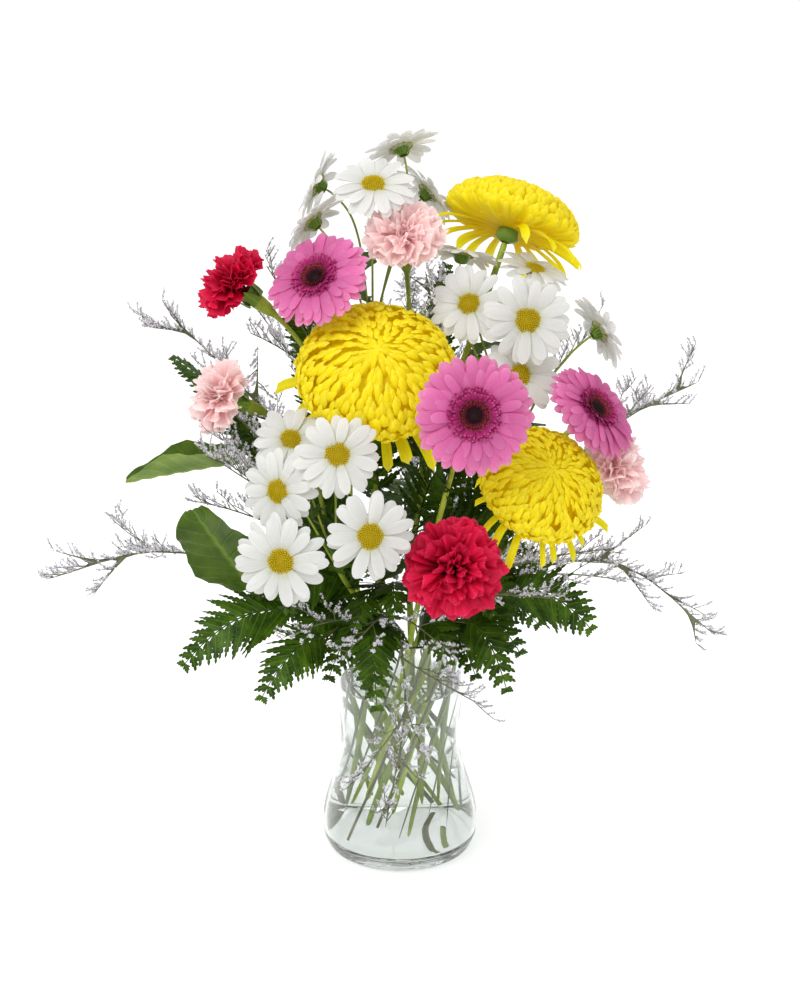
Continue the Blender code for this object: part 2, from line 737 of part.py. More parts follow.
def fern_blade(name, base, tip, lift, half_width):
    """A frond: a flat rib with pairs of tapered pinnae, longest near the base."""
    bm = bmesh.new()
    along = (tip - base).normalized()
    side = along.cross(UP).normalized()
    previous = None
    for pair in range(FERN_PAIRS):
        shares = [(pair + part) / FERN_PAIRS for part in (0.0, PINNA_ROOT)]
        low_end, high_end = FERN_OUTLINE
        turn = low_end + (high_end - low_end) * (1 - pair / FERN_PAIRS)
        length = half_width * math.sin(turn) ** FERN_FULLNESS
        for share in shares:
            here = arch(base, tip, lift, share)
            rib = [bm.verts.new(here + side * FERN_RIB * way) for way in (-1, 1)]
            if previous:
                bm.faces.new((previous[0], previous[1], rib[1], rib[0]))
            previous_pair, previous = previous, rib
        for column, way in ((0, -1), (1, 1)):
            low, high = previous_pair[column], previous[column]
            outward, onward, downward = PINNA_WAY
            reach = side * way * outward + along * onward - UP * downward
            middle = (low.co + high.co) / 2 + reach * length * PINNA_WIDEST
            spread = (high.co - low.co) * PINNA_SPREAD
            outer_low = bm.verts.new(middle - spread)
            outer_high = bm.verts.new(middle + spread)
            point = bm.verts.new((low.co + high.co) / 2 + reach * length)
            root = (low, high, outer_high, outer_low)
            end = (outer_low, outer_high, point)
            bm.faces.new(root if way < 0 else root[::-1])
            bm.faces.new(end if way < 0 else end[::-1])
    end = bm.verts.new(tip)
    bm.faces.new((previous[0], previous[1], end))
    return solid_sheet(bm, name, FERN_THICKNESS, material("fern_green", (0.03, 0.13, 0.02), 0.5))


def leaf_blade(name, base, tip, half_width, facing):
    """A pointed oval blade, folded a little along its rib and curved down at the tip."""
    bm = bmesh.new()
    along = tip - base
    upper = towards(*facing)
    side = along.cross(upper).normalized()
    upper = side.cross(along).normalized()
    rows = []
    low_end, high_end = LEAF_OUTLINE
    for k in range(LEAF_ROWS + 1):
        share = k / LEAF_ROWS
        width = half_width * math.sin(low_end + (high_end - low_end) * share) ** LEAF_FULLNESS
        row = []
        for across in (-1, -0.5, 0, 0.5, 1):
            fold = upper * (abs(across) * width * LEAF_FOLD - share**2 * along.length * LEAF_DROOP)
            row.append(bm.verts.new(base + along * share + side * across * width + fold))
        rows.append(row)
    for low, high in zip(rows, rows[1:]):
        for i in range(4):
            bm.faces.new((low[i], low[i + 1], high[i + 1], high[i]))
    return solid_sheet(bm, name, LEAF_THICKNESS, material("leaf_green", (0.05, 0.16, 0.03), 0.45))


def stalk_points(ring, bearing, base, tip):
    """The stalk of a leaf or frond: straight through the vase, then a curve into the blade."""
    foot, rim = straight_run(ring, bearing)
    into = (tip - base).normalized()
    inside = base + into * STALK_IN_BLADE
    return [foot, *smooth_line([rim, inside], (rim - foot).normalized(), into, STEM_POINT_SPACING)]


def make_blades():
    """name: the blade of each frond and leaf, and the points of its stalk."""
    made = {}
    for name, (bearing, base, tip, lift, half_width) in FERNS.items():
        base, tip = place(base), place(tip)
        rise = arch(base, tip, lift, STALK_AIM)
        blade = fern_blade(name, base, tip, lift, half_width)
        made[name] = (blade, stalk_points("outer", bearing, base, rise), FERN_STALK)
    for name, (bearing, base, tip, half_width, facing) in LEAVES.items():
        base, tip = place(base), place(tip)
        blade = leaf_blade(name, base, tip, half_width, facing)
        made[name] = (blade, stalk_points("middle", bearing, base, tip), LEAF_STALK)
    return made


# ---------------------------------------------------------------- sea lavender

def make_lavender(run, longest, obstacles):
    """A main stem with alternate twigs, each as long as the room beside it allows."""
    stem = tube(run.name, run.points, run_radii(run, LAVENDER_TIP), stem_green(), sides=4)
    twigs = []
    upper = run.points[len(run.points) // TWIGS_FROM:]
    for k in range(1, len(upper) - 1):
        here, ahead = upper[k], (upper[k + 1] - upper[k - 1]).normalized()
        swing = Matrix.Rotation(math.radians(TWIG_TURN) * k, 3, ahead)
        aside = swing @ ahead.orthogonal().normalized()
        way = (ahead * TWIG_AHEAD + aside * TWIG_ASIDE).normalized()
        length = longest * (1 - TWIG_TAPER * k / len(upper))
        while length > longest * TWIG_SHORTEST:
            middle = here + way * length / 2 + UP * length * TWIG_RISE / 2
            end = here + way * length + UP * length * TWIG_RISE
            if is_clear([here + way * TWIG_START, middle, end], LAVENDER_TWIG + STEM_GAP, obstacles):
                radii = [LAVENDER_TWIG * 1.2, LAVENDER_TWIG, LAVENDER_TWIG * 0.8]
                twigs.append(tube(f"{run.name}_twig_{k}", [here, middle, end], radii, stem_green(), sides=4))
                break
            length *= TWIG_CUT
    return union(stem, twigs)


def is_clear(line, room, obstacles):
    """Whether a line keeps this room to every obstacle."""
    for a, b in zip(line, line[1:]):
        steps = max(2, math.ceil((b - a).length / PROBE_SPACING))
        for k in range(steps + 1):
            probe = a.lerp(b, k / steps)
            for _, middle, reach, tree in obstacles:
                if (probe - Vector(middle)).length > reach + room:
                    continue
                found, normal, _, gap = tree.find_nearest(probe)
                if gap < room or (probe - found).dot(normal) < 0:
                    return False
    return True


# ---------------------------------------------------------------- vase and water

def screw(name, profile, finish):
    """A turned object: its profile is swept round the Z axis by a Screw modifier."""
    mesh = bpy.data.meshes.new(name)
    mesh.from_pydata([(radius, 0, z) for radius, z in profile],
                     [(i, i + 1) for i in range(len(profile) - 1)], [])
    obj = add_object(name, mesh, finish)
    sweep = obj.modifiers.new("sweep", "SCREW")
    sweep.axis = "Z"
    sweep.steps = VASE_STEPS
    sweep.render_steps = VASE_STEPS
    sweep.use_merge_vertices = True
    sweep.merge_threshold = 0.0001
    sweep.use_smooth_shade = True
    return obj


def heights(low, high, count):
    return [low + (high - low) * k / (count - 1) for k in range(count)]


def fillet_heights():
    """Heights up the inside fillet, close together where it is nearly flat."""
    return [FLOOR + FLOOR_FILLET * share for share in FILLET_SHARES]


def make_vase():
    inside = [(inner_radius(z), z) for z in fillet_heights()]
    inside += [(inner_radius(z), z) for z in heights(FLOOR + FLOOR_FILLET, BULGE_HEIGHT, 2)]
    inside += [(inner_radius(z), z) for z in heights(BULGE_HEIGHT, WAIST_HEIGHT, VASE_RINGS)[1:]]
    inside += [(inner_radius(z), z) for z in heights(WAIST_HEIGHT, VASE_HEIGHT - WALL / 2, VASE_RINGS)[1:]]
    lip = [(RIM_RADIUS - WALL / 2, VASE_HEIGHT)]
    outside = [(wall_radius(z), z) for z in heights(VASE_HEIGHT - WALL / 2, WAIST_HEIGHT, VASE_RINGS)]
    outside += [(wall_radius(z), z) for z in heights(WAIST_HEIGHT, BULGE_HEIGHT, VASE_RINGS)[1:]]
    outside += [(wall_radius(BULGE_HEIGHT * share), BULGE_HEIGHT * share) for share in FOOT_SHARES]
    profile = [(0, FLOOR), *inside, *lip, *outside, (0, 0)]
    return screw("vase", profile, material("glass", (0.85, 0.90, 0.88), 0.05, 0.35))


def make_water(stems):
    """The water, with a pocket for each stem that stands in it."""
    wall = [(inner_radius(z) - GAP, z + GAP) for z in fillet_heights()]
    wall += [(inner_radius(z) - GAP, z) for z in heights(FLOOR + FLOOR_FILLET, BULGE_HEIGHT, 2)]
    wall += [(inner_radius(z) - GAP, z) for z in heights(BULGE_HEIGHT, WAIST_HEIGHT, VASE_RINGS)[1:]]
    above = [z for z in heights(WAIST_HEIGHT, VASE_HEIGHT - WALL / 2, VASE_RINGS)[1:] if z < WATER_LEVEL]
    wall += [(inner_radius(z) - GAP, z) for z in above]
    wall.append((inner_radius(WATER_LEVEL) - GAP * 2, WATER_LEVEL))
    profile = [(0, WATER_LEVEL), *reversed(wall), (0, FLOOR + GAP)]
    water = screw("water", profile, material("water", (0.80, 0.88, 0.86), 0.02, 0.3))
    for name, foot, rim, radius in stems:
        along = (rim - foot).normalized()
        line = [foot - along * POCKET_GAP, rim]
        pocket = tube(name + "_pocket", line, [radius + POCKET_GAP] * 2, None, sides=6)
        PARTS.objects.unlink(pocket)
        CUTTERS.objects.link(pocket)
        pocket.hide_render = True
        pocket.display_type = "WIRE"
    cut = water.modifiers.new("pockets", "BOOLEAN")
    cut.operation = "DIFFERENCE"
    cut.operand_type = "COLLECTION"
    cut.collection = CUTTERS
    cut.solver = "EXACT"
    return water


# ---------------------------------------------------------------- the whole

def obstacle(name, obj):
    """A solid that stems keep clear of: name, middle, reach and search tree."""
    points = np.array([(obj.matrix_world @ v.co)[:] for v in obj.data.vertices])
    middle = (points.min(0) + points.max(0)) / 2
    reach = np.linalg.norm(points - middle, axis=1).max()
    return name, middle, reach, tree_of(obj)


def main():
    blades = make_blades()
    heads = make_heads()
    leaves = [obstacle(name, blade) for name, (blade, _, _) in blades.items()]
    spread_heads(heads, [(Vector(middle), tree) for _, middle, _, tree in leaves])
    solid = [obstacle(name, head) for name, head in heads.items()]
    solid += leaves

    runs = [single_run(heads, name) for name in STEMS]
    sprays = {name: spray_runs(heads, name) for name in SPRAYS}
    runs += [run for group in sprays.values() for run in group]
    lavender = {name: lavender_run(name) for name in LAVENDER}
    runs += lavender.values()
    for name, (_, points, radius) in blades.items():
        runs.append(Run(name, points, radius, 2, name, held=len(points)))
    part_runs(runs, solid)

    for run in runs[:len(STEMS)]:
        solid.append(obstacle(run.name + "_stem", make_single_stem(run)))
    for name, group in sprays.items():
        solid.append(obstacle(name + "_stem", make_spray_stem(name, group)))
    for name, (blade, points, radius) in blades.items():
        stalk = tube(name + "_stalk", points, [radius] * len(points), stem_green(), sides=6)
        union(blade, [stalk])
        solid.append(obstacle(name + "_whole", blade))

    vase = make_vase()
    bpy.context.view_layer.update()
    evaluated = vase.evaluated_get(bpy.context.evaluated_depsgraph_get())
    shell = add_object("vase_shell", bpy.data.meshes.new_from_object(evaluated), None)
    solid.append(obstacle("vase", shell))
    bpy.data.objects.remove(shell)
    for name, run in lavender.items():
        sprig = make_lavender(run, LAVENDER[name][3], solid)
        solid.append(obstacle(name, sprig))

    standing = {run.name: (run.name, run.points[0], run.points[1], run.radius)
                for run in runs if run.points[0].z < WAIST_HEIGHT}
    make_water(standing.values())


main()
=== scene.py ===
"""Looks for the flower arrangement: petals, discs, fronds, florets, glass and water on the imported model."""

import random
from math import atan2, cos, pi, radians, sin, sqrt

import bmesh
import bpy
import numpy as np
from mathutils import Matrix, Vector


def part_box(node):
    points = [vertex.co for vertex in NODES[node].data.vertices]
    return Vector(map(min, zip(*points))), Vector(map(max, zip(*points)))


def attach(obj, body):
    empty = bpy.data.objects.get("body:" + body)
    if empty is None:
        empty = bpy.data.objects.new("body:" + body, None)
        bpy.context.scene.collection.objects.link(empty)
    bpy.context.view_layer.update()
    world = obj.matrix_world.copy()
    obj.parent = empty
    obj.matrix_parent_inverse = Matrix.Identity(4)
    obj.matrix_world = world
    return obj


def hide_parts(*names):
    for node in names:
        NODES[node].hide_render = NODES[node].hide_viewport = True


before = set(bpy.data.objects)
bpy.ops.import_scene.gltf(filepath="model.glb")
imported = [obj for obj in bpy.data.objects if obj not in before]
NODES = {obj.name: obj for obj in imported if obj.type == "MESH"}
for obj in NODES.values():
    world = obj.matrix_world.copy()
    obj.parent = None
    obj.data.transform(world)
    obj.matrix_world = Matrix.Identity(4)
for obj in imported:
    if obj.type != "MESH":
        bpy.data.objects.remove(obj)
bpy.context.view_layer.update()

UP = Vector((0, 0, 1))
TAU = 2 * pi

# The photograph's view: what it looks at, from how high and how far, and the lens in millimetres
VIEW_TARGET = Vector((0.0, 0.0, 0.308))
VIEW_ELEVATION = 19
VIEW_DISTANCE = 2.0
VIEW_LENS = 88.5

# The golden angle, which sets each scale or floret of a flower head off from the one before
GOLDEN_TURN = pi * (3 - sqrt(5))

# The vase, as the part's source has it
VASE_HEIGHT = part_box("vase")[1][2]
RIM_RADIUS = 0.0610
WAIST_RADIUS = 0.0495
WAIST_HEIGHT = 0.100
BULGE_RADIUS = 0.0655
BULGE_HEIGHT = 0.020
FOOT_RADIUS = 0.0580
WALL = 0.0028
FLOOR = 0.0100
FLOOR_FILLET = 0.007
WATER_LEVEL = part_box("water")[1][2]

STALK_RADIUS = 0.0012
STALK_POINTS = 12
MUM_SCALES = 680
MUM_HANGING_PETALS = 15
# Sea lavender: how far apart the spikes stand on a twig, and how long they are
SPIKE_GAP = 0.0042
SPIKE_LENGTH = 0.0085

# The foliage and the sprigs, in millimetres and degrees. Points are (right, back, up), counted from the rim.
# The fronds, as the part's source has them: base, tip, arch, half width
FERNS = {
    "fern_front_left": ((-26, -72, 30), (-18, -118, -30), 18, 30),
    "fern_front_right": ((52, -80, 30), (84, -122, -12), 16, 30),
    "fern_right": ((80, -58, 45), (152, -88, 26), 16, 36),
    "fern_left_low": ((-85, -48, 26), (-174, -82, -8), 18, 42),
    "fern_left_mid": ((-58, -86, 20), (-108, -142, -10), 14, 32),
    "fern_left_high": ((-78, 40, 85), (-186, 46, 214), 14, 34),
    "fern_back_left": ((-45, 85, 70), (-100, 190, 90), 30, 46),
    "fern_back_right": ((60, 80, 70), (125, 180, 85), 30, 46),
}
# Leaves: base, tip, half width, (bearing, elevation) of the upper side, fold and roundness as shares
LEAVES = {
    "leaf_broad": ((-118, -60, 50), (-164, -78, 121), 37, (-40, 15), 0.10, 0.50),
    "leaf_long": ((-125, -8, 140), (-222, -6, 126), 26, (-20, 98), 0.75, 0.60),
}
# The foliage that fills the neck, in tiers all round: how many, first bearing, height and distance of the
# base, height and distance of the tip, arch, half width
SKIRT = [
    (15, 12, 20, 44, -4, 118, 16, 27),
    (15, 0, 45, 40, 40, 122, 14, 28),
    (11, 8, 75, 30, 92, 112, 12, 28),
]
# Taller fronds between the flowers: bearing, height and distance of the base, height and distance of the tip
BETWEEN = [
    (-70, 75, 45, 178, 128), (-120, 110, 50, 232, 110), (-160, 120, 50, 250, 125),
    (165, 120, 45, 275, 105), (130, 110, 50, 220, 130), (95, 80, 50, 150, 140), (-35, 120, 30, 205, 72),
    (20, 100, 35, 150, 85), (-5, 80, 35, 120, 105), (60, 110, 35, 190, 80), (-100, 170, 40, 262, 85),
    (178, 60, 60, 130, 170), (-140, 50, 60, 120, 160), (140, 50, 60, 110, 165), (40, 60, 45, 85, 110),
]
# Sea lavender that has no stem of its own in the vase: base, middle and tip
SPRIGS = [
    ((0, -88, 4), (30, -98, -14), (66, -94, -36)), ((3, -94, -45), (-18, -98, -78), (-40, -96, -104)),
    ((-30, -78, 30), (-55, -110, 48), (-82, -132, 40)), ((0, -70, 30), (12, -105, 42), (40, -125, 20)),
    ((-10, -70, 35), (-20, -110, 45), (-45, -132, 20)), ((45, -60, 45), (85, -90, 60), (128, -104, 58)),
    ((60, -50, 55), (110, -72, 85), (168, -80, 92)), ((60, -45, 50), (115, -60, 70), (175, -70, 62)),
    ((55, -60, 65), (80, -95, 95), (110, -110, 90)), ((-60, -40, 80), (-100, -58, 130), (-140, -60, 160)),
    ((-60, -30, 70), (-110, -45, 110), (-165, -40, 118)),
    ((-60, -50, 100), (-105, -64, 132), (-158, -62, 170)),
    ((-60, -40, 110), (-110, -56, 145), (-150, -58, 186)),
    ((-50, -30, 120), (-95, -44, 150), (-128, -48, 192)),
    ((-40, 10, 160), (-70, 10, 240), (-105, 0, 300)), ((10, 10, 170), (18, -10, 230), (12, -35, 272)),
    ((-30, 30, 150), (-60, 30, 210), (-120, 20, 240)), ((60, 50, 120), (120, 70, 180), (165, 80, 235)),
    ((-40, 70, 110), (-80, 110, 180), (-120, 130, 230)),
]


def linked(name, data):
    """A new object in the scene."""
    obj = bpy.data.objects.new(name, data)
    bpy.context.scene.collection.objects.link(obj)
    return obj


def aim(obj, way, distance):
    """Puts the camera or a light at this distance from what the photograph shows, looking back at it."""
    obj.location = VIEW_TARGET + way * distance
    obj.rotation_mode = "QUATERNION"
    obj.rotation_quaternion = (-way).to_track_quat("-Z", "Y")


def towards(bearing, elevation=0.0):
    """Unit vector at this bearing (0 is the front, 90 the right), raised by this elevation, in degrees."""
    turn, rise = radians(bearing), radians(elevation)
    return Vector((sin(turn) * cos(rise), -cos(turn) * cos(rise), sin(rise)))


def place(point):
    """A (right, back, up) place in millimetres from the vase's rim, in metres from the floor."""
    return Vector([c / 1000 for c in point]) + UP * VASE_HEIGHT


# ---- camera, light and floor

def make_stage():
    camera = linked("camera", bpy.data.cameras.new("camera"))
    camera.data.lens = VIEW_LENS
    aim(camera, towards(0, VIEW_ELEVATION), VIEW_DISTANCE)
    bpy.context.scene.camera = camera
    bpy.context.scene.view_settings.view_transform = "Standard"

    # A white studio with a dark strip down each side, which draws the edges of the glass
    world = bpy.data.worlds.new("studio")
    bpy.context.scene.world = world
    tree = Tree(world)
    background = tree.nodes["Background"]
    background.inputs["Strength"].default_value = 0.80
    aside = tree.maths("ABSOLUTE", tree.split("Generated", "X"))
    tree.join(tree.ramp(aside, (0.86, 1.0), (0.98, 0.38, 0.39, 0.40)), background.inputs["Color"])

    for name, bearing, elevation, distance, size, power in (
        ("key", -38, 48, 1.7, 0.8, 15.0),
        ("fill", 50, 30, 2.0, 1.4, 4.0),
        ("top", 150, 70, 1.8, 1.2, 7.0),
    ):
        light = linked(name, bpy.data.lights.new(name, "AREA"))
        light.data.size = size
        light.data.energy = power
        aim(light, towards(bearing, elevation), distance)

    mesh = bpy.data.meshes.new("floor")
    reach = 12.0
    corners = [(-reach, -reach, 0), (reach, -reach, 0), (reach, reach, 0), (-reach, reach, 0)]
    mesh.from_pydata(corners, [], [(0, 1, 2, 3)])
    floor = linked("floor", mesh)
    floor.location.z = -0.0003
    made, shader, tree = new_material("floor_white", 0.6)
    tree.join(tree.ramp(tree.noise(40.0), (0.0, 0.90), (1.0, 0.93)), shader.inputs["Base Color"])
    shader.inputs["Emission Color"].default_value = (1.0, 1.0, 1.0, 1.0)
    shader.inputs["Emission Strength"].default_value = 0.31
    mesh.materials.append(made)


# ---- materials

class Tree:
    """The nodes of a material or of the world."""

    def __init__(self, owner):
        owner.use_nodes = True
        self.nodes, self.join = owner.node_tree.nodes, owner.node_tree.links.new

    def new(self, kind, **settings):
        node = self.nodes.new("ShaderNode" + kind)
        for key, value in settings.items():
            setattr(node, key, value)
        return node

    def fill(self, socket, source):
        """Puts a number, a colour or another node's output into a socket."""
        if isinstance(source, bpy.types.NodeSocket):
            self.join(source, socket)
        else:
            socket.default_value = (*source, 1.0) if isinstance(source, tuple) else source

    def noise(self, scale, detail=4.0, stretch=None):
        """A noise over the object's own coordinates, as a value about 0.5."""
        texture = self.new("TexNoise")
        texture.inputs["Scale"].default_value = scale
        texture.inputs["Detail"].default_value = detail
        source = self.new("TexCoord").outputs["Object"]
        if stretch:
            mapping = self.new("Mapping")
            mapping.inputs["Scale"].default_value = stretch
            self.join(source, mapping.inputs["Vector"])
            source = mapping.outputs["Vector"]
        self.join(source, texture.inputs["Vector"])
        return texture.outputs["Fac"]

    def attribute(self, name):
        return self.new("Attribute", attribute_name=name).outputs["Fac"]

    def split(self, space, axis):
        """One of the coordinates, on its own."""
        parts = self.new("SeparateXYZ")
        self.join(self.new("TexCoord").outputs[space], parts.inputs[0])
        return parts.outputs[axis]

    def ramp(self, value, *stops):
        """A colour ramp over the value: a stop is its position and its colour, or one number for a grey."""
        ramp = self.new("ValToRGB")
        for _ in stops[2:]:
            ramp.color_ramp.elements.new(0.5)
        for element, (position, *colour) in zip(ramp.color_ramp.elements, stops):
            element.position = position
            element.color = (*(colour * 3)[:3], 1.0)
        self.join(value, ramp.inputs[0])
        return ramp.outputs["Color"]

    def mixed(self, kind, factor, a, b):
        """Two colours mixed by a value or a number."""
        mix = self.new("Mix", data_type="RGBA", blend_type=kind)
        for key, source in (("Factor", factor), ("A", a), ("B", b)):
            self.fill(mix.inputs[key], source)
        return mix.outputs["Result"]

    def maths(self, kind, a, b=0.0):
        node = self.new("Math", operation=kind)
        self.fill(node.inputs[0], a)
        self.fill(node.inputs[1], b)
        return node.outputs[0]

    def bump(self, shader, height, distance):
        node = self.new("Bump")
        node.inputs["Distance"].default_value = distance
        node.inputs["Strength"].default_value = 1.0
        self.join(height, node.inputs["Height"])
        self.join(node.outputs["Normal"], shader.inputs["Normal"])

    def blend_shaders(self, share, first, second):
        """Two shaders mixed by a value or a number, as the material's surface."""
        mix = self.new("MixShader")
        self.fill(mix.inputs[0], share)
        self.join(first.outputs[0], mix.inputs[1])
        self.join(second.outputs[0], mix.inputs[2])
        self.join(mix.outputs[0], self.nodes["Material Output"].inputs["Surface"])


def new_material(name, roughness=0.5, specular=0.5):
    made = bpy.data.materials.new(name)
    tree = Tree(made)
    shader = tree.nodes["Principled BSDF"]
    shader.inputs["Roughness"].default_value = roughness
    shader.inputs["Specular IOR Level"].default_value = specular
    return made, shader, tree


def petal_material(name, stops, veins, roughness=0.5, tone_share=0.22, vein_share=0.12, through=0.4,
                   painted_glow=0.0):
    """A petal: its colour runs along it, with fine veins, and differs a little from petal to petal. Light
    comes through it, by the share given. Its glow is emission in the petal's own colour: a painted glow
    that stands in for light scattered between close petals and brightens the petal in shade."""
    made, shader, tree = new_material(name, roughness, 0.25)
    speckle = tree.noise(420.0)
    blotch = tree.maths("MULTIPLY", tree.maths("SUBTRACT", speckle, 0.5), 0.22)
    colour = tree.ramp(tree.maths("ADD", tree.attribute("along"), blotch), *stops)
    wave = tree.maths("SINE", tree.maths("MULTIPLY", tree.attribute("across"), veins * pi))
    wave = tree.maths("MULTIPLY", tree.maths("ADD", wave, 1.0), 0.5)
    darker = tuple(0.55 * c for c in stops[len(stops) // 2][1:])
    colour = tree.mixed("MIX", tree.maths("MULTIPLY", wave, vein_share), colour, darker)
    shade = tree.ramp(tree.attribute("tone"), (0.0, 1 - tone_share), (1.0, 1.0))
    colour = tree.mixed("MULTIPLY", 1.0, colour, shade)
    tree.join(colour, shader.inputs["Base Color"])
    # Painted glow: emission in the petal's own colour, though the petal is no lamp.
    if painted_glow:
        tree.join(colour, shader.inputs["Emission Color"])
        shader.inputs["Emission Strength"].default_value = painted_glow
    tree.bump(shader, tree.maths("ADD", wave, tree.maths("MULTIPLY", speckle, 0.6)), 0.00012)
    lit_from_behind = tree.new("BsdfTranslucent")
    tree.join(colour, lit_from_behind.inputs["Color"])
    tree.blend_shaders(through, shader, lit_from_behind)
    return made


def green_material(name, dark, light, roughness=0.45, scale=90.0, veins=0.0):
    """A leaf: mottled green with a pale midrib, and side veins where their number is given."""
    made, shader, tree = new_material(name, roughness, 0.14)
    mottle = tree.noise(scale)
    colour = tree.ramp(mottle, (0.30, *dark), (0.72, *light))
    shade = tree.ramp(tree.attribute("tone"), (0.0, 0.50, 0.55, 0.50), (1.0, 1.0))
    colour = tree.mixed("MULTIPLY", 1.0, colour, shade)
    off_middle = tree.maths("ABSOLUTE", tree.attribute("across"))
    pale = tuple(min(1.0, 1.6 * c + 0.012) for c in light)
    colour = tree.mixed("MIX", tree.ramp(off_middle, (0.0, 0.65), (0.10, 0.0)), colour, pale)
    height = tree.maths("MULTIPLY", tree.noise(scale * 9), 0.4)
    if veins:
        slant = tree.maths("MULTIPLY", off_middle, 0.20 * veins)
        row = tree.maths("SUBTRACT", tree.maths("MULTIPLY", tree.attribute("along"), veins), slant)
        wander = tree.maths("ADD", row, tree.maths("MULTIPLY", mottle, 0.5))
        near = tree.maths("ABSOLUTE", tree.maths("SINE", tree.maths("MULTIPLY", wander, pi)))
        colour = tree.mixed("MIX", tree.ramp(near, (0.0, 0.35), (0.16, 0.0)), colour, pale)
        height = tree.maths("ADD", height, tree.maths("MINIMUM", near, 0.4))
    tree.join(colour, shader.inputs["Base Color"])
    tree.bump(shader, height, 0.0004)
    return made


def stem_material(name, dark, light):
    """A stem: long fibres and slow changes of green along it."""
    made, shader, tree = new_material(name, 0.5, 0.4)
    slow = tree.noise(30.0)
    fibre = tree.noise(180.0, 3.0, (6.0, 6.0, 0.7))
    colour = tree.ramp(slow, (0.30, *dark), (0.70, *light))
    streak = tree.ramp(fibre, (0.35, 0.70, 0.70, 0.66), (0.65, 1.0))
    tree.join(tree.mixed("MULTIPLY", 1.0, colour, streak), shader.inputs["Base Color"])
    tree.bump(shader, fibre, 0.0003)
    return made


def glass_material(name, tint, ior, rings=0.0):
    """Clear glass or water. Shadow rays pass through it, so that what is inside is lit. Rings are the faint
    ripples that pressing and spinning leave round a glass foot."""
    made, shader, tree = new_material(name)
    shader.inputs["Base Color"].default_value = (*tint, 1.0)
    shader.inputs["Transmission Weight"].default_value = 1.0
    shader.inputs["IOR"].default_value = ior
    ripple = tree.noise(14.0, 2.0)
    tree.join(tree.ramp(ripple, (0.0, 0.0), (1.0, 0.02)), shader.inputs["Roughness"])
    if rings:
        wave = tree.new("TexWave", wave_type="RINGS", rings_direction="Z")
        wave.inputs["Scale"].default_value = 55.0
        wave.inputs["Distortion"].default_value = 1.5
        tree.join(tree.new("TexCoord").outputs["Object"], wave.inputs["Vector"])
        low = tree.ramp(tree.split("Object", "Z"), (0.012, rings), (0.026, 0.0))
        ripple = tree.maths("ADD", ripple, tree.maths("MULTIPLY", wave.outputs["Fac"], low))
    tree.bump(shader, ripple, 0.0006)
    clear = tree.new("BsdfTransparent")
    clear.inputs["Color"].default_value = (*(c * 0.97 for c in tint), 1.0)
    rays = tree.new("LightPath").outputs
    tree.blend_shaders(tree.maths("MAXIMUM", rays["Is Shadow Ray"], rays["Is Diffuse Ray"]), shader, clear)
    return made


